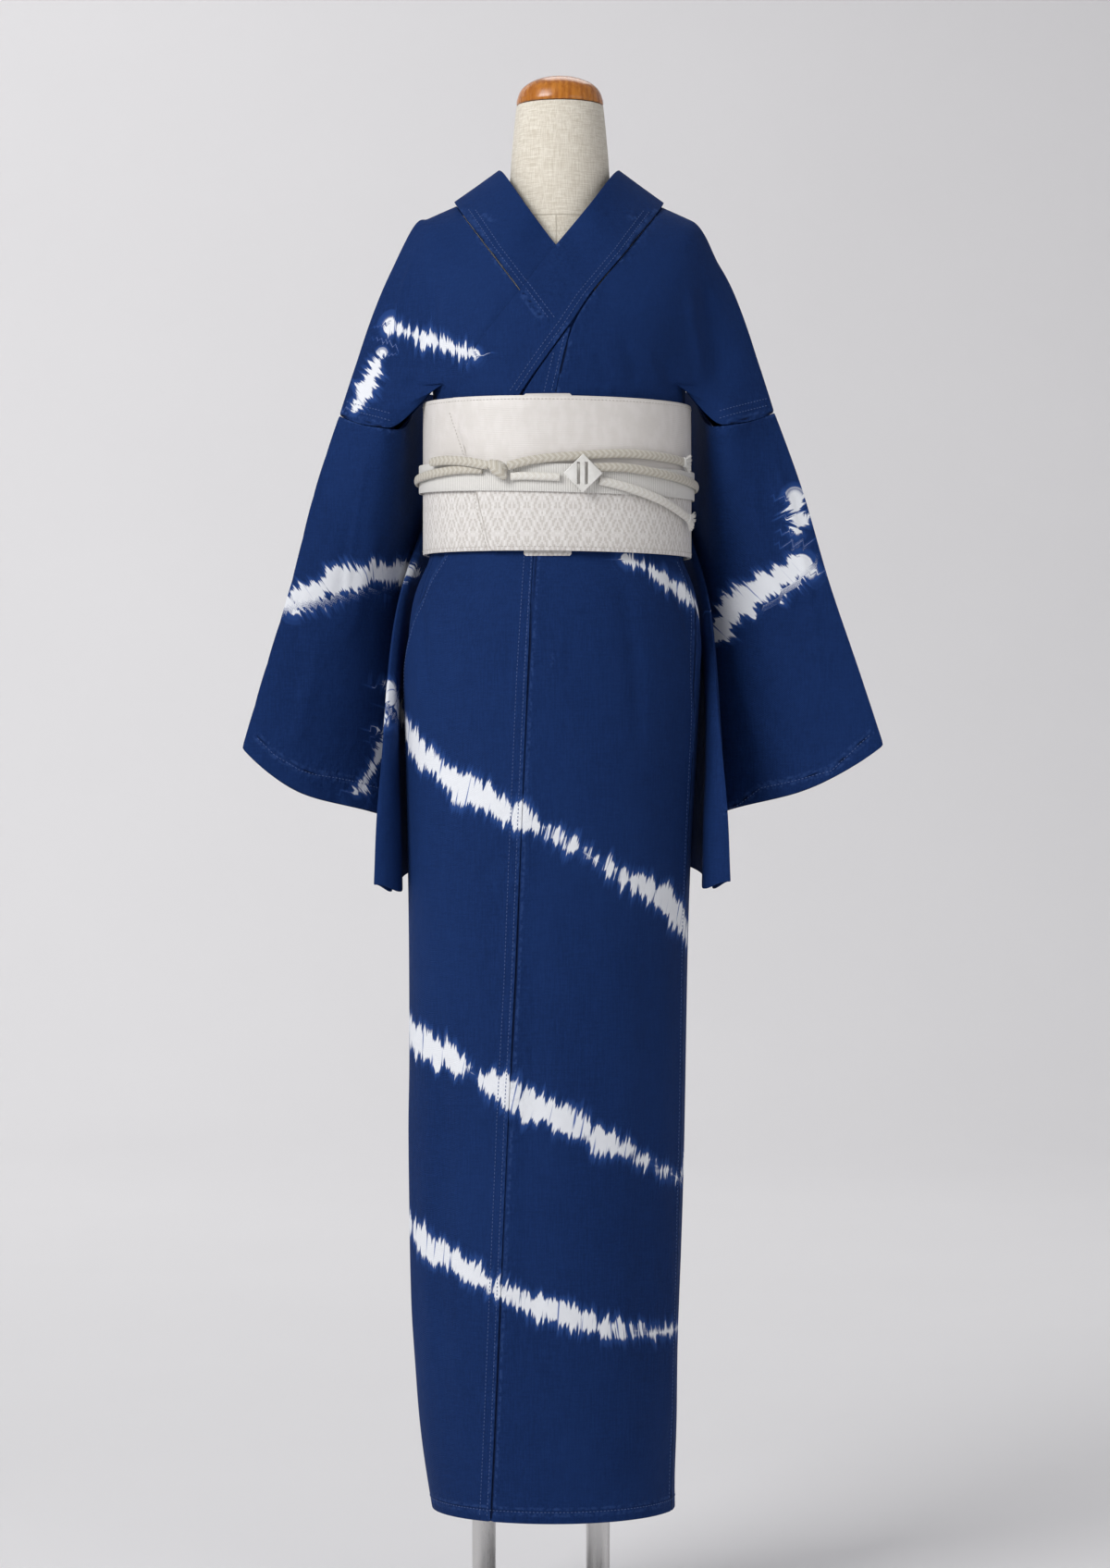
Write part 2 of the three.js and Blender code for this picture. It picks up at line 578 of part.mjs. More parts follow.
// Stops of each cord: angle from the front, height, extra distance off the obi.
const CORD_RUNS = {
  around: [[14.5, 1119.5, 0], [28, 1120, 0], [50, 1115, 0], [80, 1109, 0], [130, 1107, 0], [180, 1109, 0],
    [230, 1112, 0], [275, 1114.5, 0], [300, 1117.5, 0], [318, 1119.5, 0], [329, 1118.5, 0]],
  loop: [[-61, 1128.5, 1.5], [-50, 1129, 2], [-38, 1126.5, 3], [-27, 1121.5, 5.2]],
  under: [[-18.5, 1111, 0], [-14, 1111.5, 0], [-4, 1110.5, 0], [1.2, 1110, 0]],
  upper: [[-19.3, 1121, 3.9], [-8, 1127, 0.4], [8, 1130.5, -1.8], [30, 1133.5, -1.8], [52, 1131.5, -1.8],
    [63.5, 1129.5, -1.8]],
  lower: [[17.2, 1107.2, 0.2], [26, 1103, 0.6], [45, 1091.5, 0.6], [58, 1082, 0.2], [66.5, 1076, 0]],
};

// Knot of the cord: a wrapped turn standing over the loop and the two runs that meet in it.
function knotGeometry() {
  const crossing = [[-26.5, 1126.5, 4.6], [-25, 1121, 7.2], [-22, 1115, 7.4], [-20, 1109, 4.4]];
  const wrap = braid(crossing, { steps: 6, taper: 0.7 });
  const core = new THREE.SphereGeometry(1, 12, 8);
  const [x, y] = onTrunk(-23, 1115, CORD.off + 4.4);
  core.scale(9.5, 5.2, 8.2);
  core.rotateY(rad(30));
  core.translate(x, y, 1118.5);
  const body = new THREE.BufferGeometry();
  body.setAttribute('position', core.attributes.position);
  body.setIndex(core.index);
  const loop = braid(CORD_RUNS.loop, { wide: 9.5, steps: 10, taper: 0.82 });
  return join([wrap, loop, weld(body)]);
}

// Merge the repeated points of a stock shape so that it closes.
function weld(geometry) {
  const keys = new Map();
  const positions = [];
  const source = geometry.attributes.position;
  const map = Array.from({ length: source.count }, (_, i) => {
    const p = [source.getX(i), source.getY(i), source.getZ(i)];
    const key = p.map((v) => Math.round(v * 1e4)).join();
    if (!keys.has(key)) { keys.set(key, positions.length); positions.push(p); }
    return keys.get(key);
  });
  const index = [];
  for (let i = 0; i < geometry.index.count; i += 3) {
    const [a, b, c] = [0, 1, 2].map((k) => map[geometry.index.getX(i + k)]);
    if (a !== b && b !== c && a !== c) index.push(a, b, c);
  }
  return geometryOf(positions, index);
}

// Short fringe at a cord's cut end: a bound head with strands splaying from it.
function tasselGeometry(run) {
  const [last, before] = [run[run.length - 1], run[run.length - 2]];
  const place = ([angle, z, lift]) => {
    const [x, y] = onTrunk(angle, 1115, CORD.off + lift);
    return new THREE.Vector3(x, y, z);
  };
  const start = place(last);
  const way = start.clone().sub(place(before)).normalize();
  const out = new THREE.Vector3(start.x, start.y * 1.8, 0).normalize();
  const up = out.clone().cross(way).normalize();
  const away = way.clone().cross(up).normalize();
  const ring = (distance, wide, thick, sides, shiftUp = 0, shiftOut = 0) => Array.from({ length: sides }, (_, k) => {
    const a = k / sides * 2 * Math.PI;
    return start.clone().addScaledVector(way, distance)
      .addScaledVector(up, Math.cos(a) * wide / 2 + shiftUp)
      .addScaledVector(away, Math.sin(a) * thick / 2 + shiftOut).toArray();
  });
  const pieces = [loft([ring(0.4, 8.6, 4.2, 8), ring(3.6, 9.2, 4.6, 8)])];
  const strands = 9;
  for (let k = 0; k < strands; k += 1) {
    const spread = (k / (strands - 1) - 0.5) * 2;
    const layer = (k % 3) - 1;
    const length = 9.5 + 1.4 * Math.cos(2.4 * k);
    pieces.push(loft([
      ring(2.6, 1.5, 1.3, 3, spread * 3.5, layer * 1.1),
      ring(length, 1.1, 1, 3, spread * 6.6, layer * 1.6 + 0.5),
    ]));
  }
  return join(pieces);
}

// Ornament threaded on the cord: a square plate on its point, with two upright slots.
function claspGeometry() {
  const half = 18.5;
  const thick = 2.6;
  const slot = { width: 3, height: 21, places: [-4.2, 3.2] };
  const square = (y, size) => [[size, y, 0], [0, y, size], [-size, y, 0], [0, y, -size]];
  const plate = loft([square(-thick, half - 0.5), square(-thick + 0.5, half), square(0, half)]);
  const slots = slot.places.map((x) => weld(new THREE.BoxGeometry(slot.width, 3 * thick, slot.height)
    .translate(x, 0, 0)));
  const clasp = cut(plate, slots);
  const [x, y] = onTrunk(10.2, 1115, CORD.off + CORD.thick / 2 + 0.1);
  clasp.rotateZ(rad(5.5));
  clasp.translate(x, y, 1113.6);
  return clasp;
}

// ---------------------------------------------------------------- dress form and stand
const RING_SIDES = 32;
const ringOf = (z, x, y, halfX, halfY, sides = RING_SIDES) => Array.from({ length: sides }, (_, k) => {
  const a = k / sides * 2 * Math.PI;
  return [x + halfX * Math.cos(a), y + halfY * Math.sin(a), z];
});

// Sections of the neck: height, centre, half width and half depth.
const NECK = table(['z', 'x', 'y', 'halfX', 'halfY'], [
  [1296, 2, 6, 70, 66], [1325, 2, 6, 61, 58], [1350, 2, 6, 55, 52], [1375, 2.5, 6, 51, 48], [1405, 3, 5, 49, 46],
  [1430, 3, 4, 47.5, 45], [1462, 3, 3, 44.5, 42], [1480, 3, 3, 42.5, 40],
]);
const CAP_TILT = 8;
const FORM_TAPER = table(['z', 'inset'], [
  [610, 26], [640, 18], [700, 9], [800, 5], [900, 4], [1040, 3], [1190, 5], [1320, 6.5], [1346, 6.5], [1366, 9], [1384, 9],
]);

function formGeometry() {
  const heights = [FORM_BOTTOM, 640, 710, 800, 900, 960, 1000, 1035, 1110, 1188, 1226, 1262, 1296,
    1325, 1348, 1360, 1367, 1373];
  const trunkRings = heights.map((z) => {
    const inset = read(FORM_TAPER, 'z', 'inset', z);
    return Array.from({ length: RING_SIDES }, (_, k) => onTrunk(-k * 360 / RING_SIDES, z, -inset));
  });
  const neckRings = NECK.map((s) => ringOf(s.z, s.x, s.y, s.halfX, s.halfY));
  return join([loft(trunkRings), loft(neckRings)]);
}

// Turned wooden cap on the neck.
function capGeometry() {
  const bottom = NECK[NECK.length - 1];
  const profile = [[0.2, 1], [3.5, 1.01], [6.5, 0.985], [13, 0.94], [19, 0.82], [24, 0.6], [27.5, 0.3]];
  const rings = profile.map(([up, share]) => {
    const lean = Math.tan(rad(CAP_TILT)) * up * 0.35;
    return ringOf(bottom.z + SEAM_GAP + up, bottom.x, bottom.y - lean, 42.3 * share, 40.3 * share);
  });
  return loft(rings);
}

const legGeometry = (x) => {
  const leg = new THREE.CylinderGeometry(LEG_RADIUS, LEG_RADIUS, FORM_BOTTOM - BASE.height - 2 * SEAM_GAP, 24);
  leg.rotateX(Math.PI / 2);
  leg.translate(x, 4, (FORM_BOTTOM + BASE.height) / 2);
  return weld(leg);
};

function baseGeometry() {
  const { width, depth, height, corner } = BASE;
  const edge = new THREE.Shape();
  const [w, d] = [width / 2, depth / 2];
  edge.absarc(w - corner, d - corner, corner, 0, Math.PI / 2);
  edge.absarc(corner - w, d - corner, corner, Math.PI / 2, Math.PI);
  edge.absarc(corner - w, corner - d, corner, Math.PI, 1.5 * Math.PI);
  edge.absarc(w - corner, corner - d, corner, 1.5 * Math.PI, 2 * Math.PI);
  const plate = new THREE.ExtrudeGeometry(edge, {
    depth: height - 2, curveSegments: 6,
    bevelEnabled: true, bevelThickness: 1, bevelSize: 1, bevelOffset: -1, bevelSegments: 1,
  });
  plate.translate(0, 0, 1);
  plate.deleteAttribute('normal');
  plate.deleteAttribute('uv');
  plate.setIndex(Array.from({ length: plate.attributes.position.count }, (_, i) => i));
  return weld(plate);
}

// ---------------------------------------------------------------- the object
const FINISH = {
  denim: { color: 0x1a2c5c, roughness: 0.85, metalness: 0 },
  obi: { color: 0xe2dcd2, roughness: 0.6, metalness: 0 },
  white: { color: 0xf0efed, roughness: 0.75, metalness: 0 },
  beige: { color: 0xd2c9b4, roughness: 0.6, metalness: 0 },
  clasp: { color: 0xf3f1ec, roughness: 0.35, metalness: 0 },
  linen: { color: 0xe6ddc8, roughness: 0.9, metalness: 0 },
  wood: { color: 0xb5672c, roughness: 0.4, metalness: 0 },
  steel: { color: 0xc9cacc, roughness: 0.3, metalness: 1 },
};

const kimono = new THREE.Group();
kimono.name = 'denim_kimono';
const add = (name, geometry, finish) => {
  const mesh = new THREE.Mesh(geometry, new THREE.MeshStandardMaterial({ ...FINISH[finish] }));
  mesh.name = name;
  kimono.add(mesh);
};

add('body_left', bodyGeometry(1), 'denim');
add('body_right', bodyGeometry(-1), 'denim');
add('okumi_left', okumiGeometry(1), 'denim');
add('okumi_right', okumiGeometry(-1), 'denim');
add('collar', collarGeometry(), 'denim');
add('sleeve_left', sleeveGeometry(1), 'denim');
add('sleeve_right', sleeveGeometry(-1), 'denim');
add('obi', obiGeometry(), 'obi');
add('obi_stay', stayGeometry(), 'obi');
add('obijime_band', bandGeometry(), 'white');
add('obijime_cord', braid(CORD_RUNS.around, { steps: 44 }), 'beige');
add('obijime_under', braid(CORD_RUNS.under, { steps: 8, wide: 8 }), 'white');
add('obijime_knot', knotGeometry(), 'beige');
add('obijime_end_upper', braid(CORD_RUNS.upper, { steps: 22 }), 'beige');
add('obijime_end_lower', braid(CORD_RUNS.lower, { steps: 16 }), 'white');
add('tassel_upper', tasselGeometry(CORD_RUNS.upper), 'white');
add('tassel_lower', tasselGeometry(CORD_RUNS.lower), 'white');
add('obidome', claspGeometry(), 'clasp');
add('form_torso', formGeometry(), 'linen');
add('form_cap', capGeometry(), 'wood');
add('form_leg_left', legGeometry(LEG_X[1]), 'steel');
add('form_leg_right', legGeometry(LEG_X[0]), 'steel');
add('form_base', baseGeometry(), 'steel');

export default kimono;
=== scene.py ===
import json
import math
import random

import bpy
import numpy as np
from mathutils import Matrix, Vector
from mathutils.bvhtree import BVHTree

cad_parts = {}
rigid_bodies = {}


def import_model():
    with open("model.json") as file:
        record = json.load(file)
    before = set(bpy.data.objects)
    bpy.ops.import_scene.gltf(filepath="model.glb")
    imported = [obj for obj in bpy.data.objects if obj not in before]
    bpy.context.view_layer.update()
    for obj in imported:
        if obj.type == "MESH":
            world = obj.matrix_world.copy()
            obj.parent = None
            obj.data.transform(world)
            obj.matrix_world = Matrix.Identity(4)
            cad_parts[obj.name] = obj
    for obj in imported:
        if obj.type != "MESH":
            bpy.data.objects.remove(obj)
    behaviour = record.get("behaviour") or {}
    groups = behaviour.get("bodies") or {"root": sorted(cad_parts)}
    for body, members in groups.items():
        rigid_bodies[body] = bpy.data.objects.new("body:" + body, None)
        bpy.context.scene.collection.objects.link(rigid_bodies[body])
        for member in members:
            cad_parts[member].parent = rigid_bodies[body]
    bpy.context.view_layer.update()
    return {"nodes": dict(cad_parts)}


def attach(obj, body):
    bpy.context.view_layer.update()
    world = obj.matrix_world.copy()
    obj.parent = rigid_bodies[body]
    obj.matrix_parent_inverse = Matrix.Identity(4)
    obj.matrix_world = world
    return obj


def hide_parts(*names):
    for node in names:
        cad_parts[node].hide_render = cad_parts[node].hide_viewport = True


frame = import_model()
NODES = frame["nodes"]
MM = 0.001

# ------------------------------------------------------------------ camera
bpy.ops.object.select_all(action="DESELECT")
bpy.ops.object.camera_add(location=(-0.0018, -3.70, 0.820), rotation=(math.pi / 2, 0, 0))
camera = bpy.context.object
camera.name = "camera"
camera.data.lens = 87.3
bpy.context.scene.camera = camera
bpy.context.scene.view_settings.view_transform = "Standard"


# ------------------------------------------------------------------ shape helpers
def pick(obj):
    """Makes obj the only selected and the active object."""
    bpy.ops.object.select_all(action="DESELECT")
    obj.select_set(True)
    bpy.context.view_layer.objects.active = obj
    return obj


def settle(obj):
    """Applies the object's place, turn and size to its mesh."""
    pick(obj)
    bpy.ops.object.transform_apply(location=True, rotation=True, scale=True)
    return obj


def name_it(name):
    obj = bpy.context.object
    obj.name = name.replace(" ", "_")
    return obj


def apply(obj, kind, **settings):
    """Adds a modifier with these settings and applies it."""
    pick(obj)
    bpy.ops.object.modifier_add(type=kind)
    modifier = obj.modifiers[-1]
    for key, value in settings.items():
        setattr(modifier, key, value)
    bpy.ops.object.modifier_apply(modifier=modifier.name)
    return obj


def smooth(obj, levels):
    return apply(obj, "SUBSURF", levels=levels, render_levels=levels)


def copy_of(node, name, squares=True):
    """Clean copy of a construction solid: doubles merged, triangles paired into quads."""
    pick(NODES[node])
    bpy.ops.object.duplicate()
    obj = name_it(name)
    bpy.ops.object.parent_clear(type="CLEAR_KEEP_TRANSFORM")
    for key in [k for k in obj.keys() if k.startswith("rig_")]:
        del obj[key]
    obj.data.materials.clear()
    bpy.ops.mesh.customdata_custom_splitnormals_clear()
    bpy.ops.object.mode_set(mode="EDIT")
    bpy.ops.mesh.select_all(action="SELECT")
    bpy.ops.mesh.remove_doubles(threshold=2e-6)
    if squares:
        bpy.ops.mesh.tris_convert_to_quads(face_threshold=math.pi, shape_threshold=math.pi)
    bpy.ops.object.mode_set(mode="OBJECT")
    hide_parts(node)
    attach(obj, "root")
    return obj


def shell_of(node, name, levels, sharp=70, corners=()):
    """Smoothed copy of a construction solid whose rims, and the cut corners named, stay crisp."""
    obj = copy_of(node, name)
    bpy.ops.object.mode_set(mode="EDIT")
    bpy.ops.mesh.select_mode(type="EDGE")
    bpy.ops.mesh.select_all(action="DESELECT")
    bpy.ops.mesh.edges_select_sharp(sharpness=math.radians(sharp))
    bpy.ops.transform.edge_crease(value=0.85)
    bpy.ops.object.mode_set(mode="OBJECT")
    if corners:
        spots = np.array([vertex.co[:] for vertex in obj.data.vertices])
        held = np.zeros(len(spots), dtype=np.float32)
        for corner in corners:
            held[np.linalg.norm(spots - np.array(corner) * MM, axis=1) < 5 * MM] = 1
        layer = obj.data.attributes.new("crease_vert", "FLOAT", "POINT")
        layer.data.foreach_set("value", held)
    smooth(obj, levels)
    bpy.ops.object.shade_smooth_by_angle(angle=math.radians(40))
    return obj


def points_of(obj):
    flat = np.empty(len(obj.data.vertices) * 3, dtype=np.float32)
    obj.data.vertices.foreach_get("co", flat)
    return flat.reshape(-1, 3).astype(float)


def put_points(obj, points):
    obj.data.vertices.foreach_set("co", points.astype(np.float32).ravel())
    obj.data.update()


def number_on(obj, name, values):
    """Writes one number a vertex for the materials to read."""
    layer = obj.data.attributes.get(name) or obj.data.attributes.new(name, "FLOAT", "POINT")
    layer.data.foreach_set("value", values.astype(np.float32))


def nearest_on(line, points):
    """Distance from each point to a polyline, the arc length there, and the nearest spot."""
    best = np.full(len(points), 9.0)
    along = np.zeros(len(points))
    spot = np.zeros((len(points), 3))
    start = 0.0
    for a, b in zip(line[:-1], line[1:]):
        way = b - a
        length = max(float(np.linalg.norm(way)), 1e-9)
        t = np.clip((points - a) @ way / length ** 2, 0, 1)
        near = a + t[:, None] * way
        gap = np.linalg.norm(points - near, axis=1)
        closer = gap < best
        best[closer] = gap[closer]
        along[closer] = start + t[closer] * length
        spot[closer] = near[closer]
        start += length
    return best, along, spot


def spaced(stops, step):
    """Points along straight runs between the stops, about `step` apart in the stops' own units."""
    found = [tuple(stops[0])]
    for a, b in zip(stops[:-1], stops[1:]):
        count = max(1, round(math.dist(a, b) / step))
        found += [tuple(p + (q - p) * k / count for p, q in zip(a, b)) for k in range(1, count + 1)]
    return found


class Surface:
    """Outer surface of some pieces, to lay seams, folds and dyed bands on."""

    def __init__(self, *objs):
        verts, faces = [], []
        for obj in objs:
            base = len(verts)
            verts += [v.co.copy() for v in obj.data.vertices]
            faces += [[base + i for i in p.vertices] for p in obj.data.polygons]
        self.tree = BVHTree.FromPolygons(verts, faces)

    def cast(self, origin, way):
        spot, normal, _, _ = self.tree.ray_cast(Vector(origin), Vector(way).normalized())
        return None if spot is None else (spot, normal)

    def lay(self, kind, stops, step=6):
        """Spots on the surface under the stops. Stops are (x, z) in mm seen from the front or
        back, or (angle, z) round the trunk with 0 at the front centre and plus towards +X."""
        found = []
        for u, z in spaced(stops, step):
            if kind == "front":
                hit = self.cast((u * MM, -1, z * MM), (0, 1, 0))
            elif kind == "back":
                hit = self.cast((u * MM, 1, z * MM), (0, -1, 0))
            else:
                a = math.radians(u)
                out = Vector((0.39 * math.sin(a), -0.30 * math.cos(a), 0))
                hit = self.cast(Vector((-0.004, 0, z * MM)) + out, -out)
            if hit:
                found.append(hit)
        return found


def press(objs, laid, width, depth, fade=0.25):
    """Pushes a soft trough (or, with a minus depth, a ridge) into the pieces along laid spots.
    It fades out over a share of the fold's length at each end."""
    line = np.array([spot[:] for spot, _ in laid])
    total = float(np.linalg.norm(np.diff(line, axis=0), axis=1).sum())
    middle = sum((normal for _, normal in laid), Vector())
    inward = -np.array(Vector((middle.x, middle.y, 0)).normalized()[:])
    for obj in objs:
        points = points_of(obj)
        _, along, spot = nearest_on(line, points)
        apart = points - spot
        through = apart @ inward
        side = np.linalg.norm(apart - through[:, None] * inward, axis=1)
        share = along / total
        ends = np.clip(np.minimum(share, 1 - share) / fade, 0, 1)
        ends = ends * ends * (3 - 2 * ends)
        reach = np.exp(-(side / width) ** 2) * ends * (np.abs(through) < 0.03)
        put_points(obj, points + (reach * depth)[:, None] * inward)


# ------------------------------------------------------------------ cord ends, made first
# Stops of each run of the obijime: angle from the front, height, extra distance off the obi (mm).
RUNS = {
    "around": [(14.5, 1119.5, 0), (28, 1120, 0), (50, 1115, 0), (80, 1109, 0), (130, 1107, 0),
               (180, 1109, 0), (230, 1112, 0), (275, 1114.5, 0), (300, 1117.5, 0),
               (318, 1119.5, 0), (329, 1118.5, 0)],
    "loop": [(-61, 1128.5, 1.5), (-50, 1129, 2), (-38, 1126.5, 3), (-27, 1121.5, 5.2),
             (-22, 1115, 7.4), (-20, 1109, 4.4)],
    "under": [(-18.5, 1111, 0), (-14, 1111.5, 0), (-4, 1110.5, 0), (1.2, 1110, 0)],
    "upper": [(-19.3, 1121, 3.9), (-8, 1127, 0.4), (8, 1130.5, -1.8), (30, 1133.5, -1.8),
              (52, 1131.5, -1.8), (63.5, 1129.5, -1.8)],
    "lower": [(17.2, 1107.2, 0.2), (26, 1103, 0.6), (45, 1091.5, 0.6), (58, 1082, 0.2),
              (66.5, 1076, 0)],
}
CORD_OFF = 18.6                    # cord centre line off the trunk
WAIST = (118.5, 88, 92.5)          # half width, depth to the front and to the back at the obi


def run_line(name, steps=12):
    """Centre line of a run, in metres: a smooth curve through its stops."""
    stops = []
    for angle, z, lift in RUNS[name]:
        a = math.radians(angle)
        off = CORD_OFF + lift
        deep = WAIST[1] if math.cos(a) > 0 else WAIST[2]
        stops.append(Vector(((WAIST[0] + off) * math.sin(a), -(deep + off) * math.cos(a), z)) * MM)
    ends = [2 * stops[0] - stops[1]] + stops + [2 * stops[-1] - stops[-2]]
    line = []
    for p0, p1, p2, p3 in zip(ends, ends[1:], ends[2:], ends[3:]):
        for k in range(steps):
            t = k / steps
            line.append(0.5 * (2 * p1 + (p2 - p0) * t + (2 * p0 - 5 * p1 + 4 * p2 - p3) * t * t
                               + (3 * p1 - p0 - 3 * p2 + p3) * t ** 3))
    return np.array([p[:] for p in line + [stops[-1]]])


def length_of(line):
    return float(np.linalg.norm(np.diff(line, axis=0), axis=1).sum())


def plait(obj, *names):
    """Writes where each point lies along and across its run."""
    points = points_of(obj)
    gaps = []
    for name in names:
        line = run_line(name)
        gap, along, spot = nearest_on(line, points)
        gaps.append((gap, along + 0.31 * len(gaps), points[:, 2] - spot[:, 2]))
    order = np.argmin([g[0] for g in gaps], axis=0)
    pick_from = lambda k: np.choose(order, [g[k] for g in gaps])
    number_on(obj, "run_along", pick_from(1))
    number_on(obj, "run_across", pick_from(2))
    return obj


def fringe(name, node, run, count, seed):
    """Cut threads splaying from the bound end of a cord."""
    own = random.Random(seed)
    line = run_line(run)
    start = Vector(line[-1])
    way = (start - Vector(line[-2])).normalized()
    out = Vector((start.x, start.y * 1.8, 0)).normalized()
    up = out.cross(way).normalized()
    if up.z < 0:
        up.negate()
    bpy.ops.mesh.primitive_cylinder_add(vertices=5, radius=0.28 * MM, depth=1,
                                        end_fill_type="TRIFAN", location=(0, 0, 0.5))
    thread = name_it(name + " thread")
    bpy.ops.object.mode_set(mode="EDIT")
    for share in (0.25, 0.5, 0.75):
        bpy.ops.mesh.select_all(action="SELECT")
        bpy.ops.mesh.bisect(plane_co=(0, 0, share), plane_no=(0, 0, 1))
    bpy.ops.object.mode_set(mode="OBJECT")
    settle(thread)
    threads = []
    for _ in range(count):
        across = own.uniform(-1, 1)
        layer = own.uniform(-1, 1)
        reach = own.uniform(8.2, 11.4) * (1 - 0.12 * abs(across)) * MM
        tip = own.uniform(3.2, 6.9) * across * MM
        droop = own.uniform(-0.5, 0.9) * MM
        root = start + way * 1.6 * MM + up * across * 3.6 * MM + out * layer * 1.3 * MM
        copy = thread.copy()
        copy.data = thread.data.copy()
        bpy.context.collection.objects.link(copy)
        points = points_of(copy)
        t = points[:, 2].copy()
        curl = np.outer(tip * t ** 1.6 - 0.12 * across * MM * t, up) + np.outer(t * reach, way)
        lift = np.outer(droop * np.sin(2.6 * t) + layer * 0.5 * MM * t, out)
        flat = np.outer(points[:, 0], up) + np.outer(points[:, 1], out)
        put_points(copy, np.array(root[:]) + curl + lift + flat)
        threads.append(copy)
    bpy.data.objects.remove(thread)
    bpy.ops.mesh.primitive_cylinder_add(vertices=20, radius=4.7 * MM, depth=3.4 * MM)
    binding = name_it(name)
    bpy.ops.object.mode_set(mode="EDIT")
    bpy.ops.mesh.select_all(action="SELECT")
    bpy.ops.mesh.bevel(offset=0.7 * MM, segments=3, affect="EDGES")
    bpy.ops.transform.resize(value=(1, 0.52, 1))
    bpy.ops.object.mode_set(mode="OBJECT")
    points = points_of(binding)
    turned = (np.outer(points[:, 0], up) + np.outer(points[:, 1], out)
              + np.outer(points[:, 2] + 2.2 * MM, way))
    put_points(binding, np.array(start[:]) + turned)
    bpy.ops.object.select_all(action="DESELECT")
    for copy in threads + [binding]:
        copy.select_set(True)
    bpy.context.view_layer.objects.active = binding
    bpy.ops.object.join()
    bpy.ops.object.shade_smooth_by_angle(angle=math.radians(50))
    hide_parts(node)
    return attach(binding, "root")


end_upper = plait(shell_of("obijime_end_upper", "obijime upper end", 2), "upper")
end_lower = plait(shell_of("obijime_end_lower", "obijime lower end", 2), "lower")
fringe_upper = fringe("upper fringe", "tassel_upper", "upper", 120, 3)
fringe_lower = fringe("lower fringe", "tassel_lower", "lower", 120, 5)
for piece, run, tuft in ((end_upper, "upper", fringe_upper), (end_lower, "lower", fringe_lower)):
    line = run_line(run)
    length_of(line)

cord_round = plait(shell_of("obijime_cord", "obijime cord round the obi", 1), "around")
cord_under = plait(shell_of("obijime_under", "obijime cord to the ornament", 2), "under")
knot = plait(shell_of("obijime_knot", "obijime knot and loop", 2, sharp=80),
             "loop", "upper", "under")

# ------------------------------------------------------------------ cloth shells
BACK_CORNERS = [(1, 80, 1335.3), (-3, 94.3, 118)]    # centre back, at the neck and at the hem
body_left = shell_of("body_left", "left body panel", 3, corners=BACK_CORNERS)
body_right = shell_of("body_right", "right body panel", 3, corners=BACK_CORNERS)
okumi_left = shell_of("okumi_left", "left overlap panel", 3)
okumi_right = shell_of("okumi_right", "right overlap panel", 2)
collar = shell_of("collar", "collar band", 2)
sleeve_left = shell_of("sleeve_left", "left sleeve", 3)
sleeve_right = shell_of("sleeve_right", "right sleeve", 3)
obi = shell_of("obi", "wound obi", 2)
obi_stay = shell_of("obi_stay", "obi stay strip", 2)
band = shell_of("obijime_band", "flat white band", 2)

SKIRT = [body_left, body_right, okumi_left, okumi_right]
DENIM = SKIRT + [collar, sleeve_left, sleeve_right]

# ------------------------------------------------------------------ form and ornament
torso = shell_of("form_torso", "dress form body", 2, sharp=60)
cap = shell_of("form_cap", "neck cap", 2, sharp=50)
ornament = copy_of("obidome", "obi ornament")
apply(ornament, "BEVEL", width=0.6 * MM, segments=3, limit_method="ANGLE",
      angle_limit=math.radians(50))
bpy.ops.object.shade_smooth_by_angle(angle=math.radians(35))
leg_left = copy_of("form_leg_left", "left leg tube")
leg_right = copy_of("form_leg_right", "right leg tube")
base = copy_of("form_base", "base plate")
for metal in (leg_left, leg_right, base):
    apply(metal, "BEVEL", width=0.5 * MM, segments=3, limit_method="ANGLE",
          angle_limit=math.radians(60))
    bpy.ops.object.shade_smooth_by_angle(angle=math.radians(35))

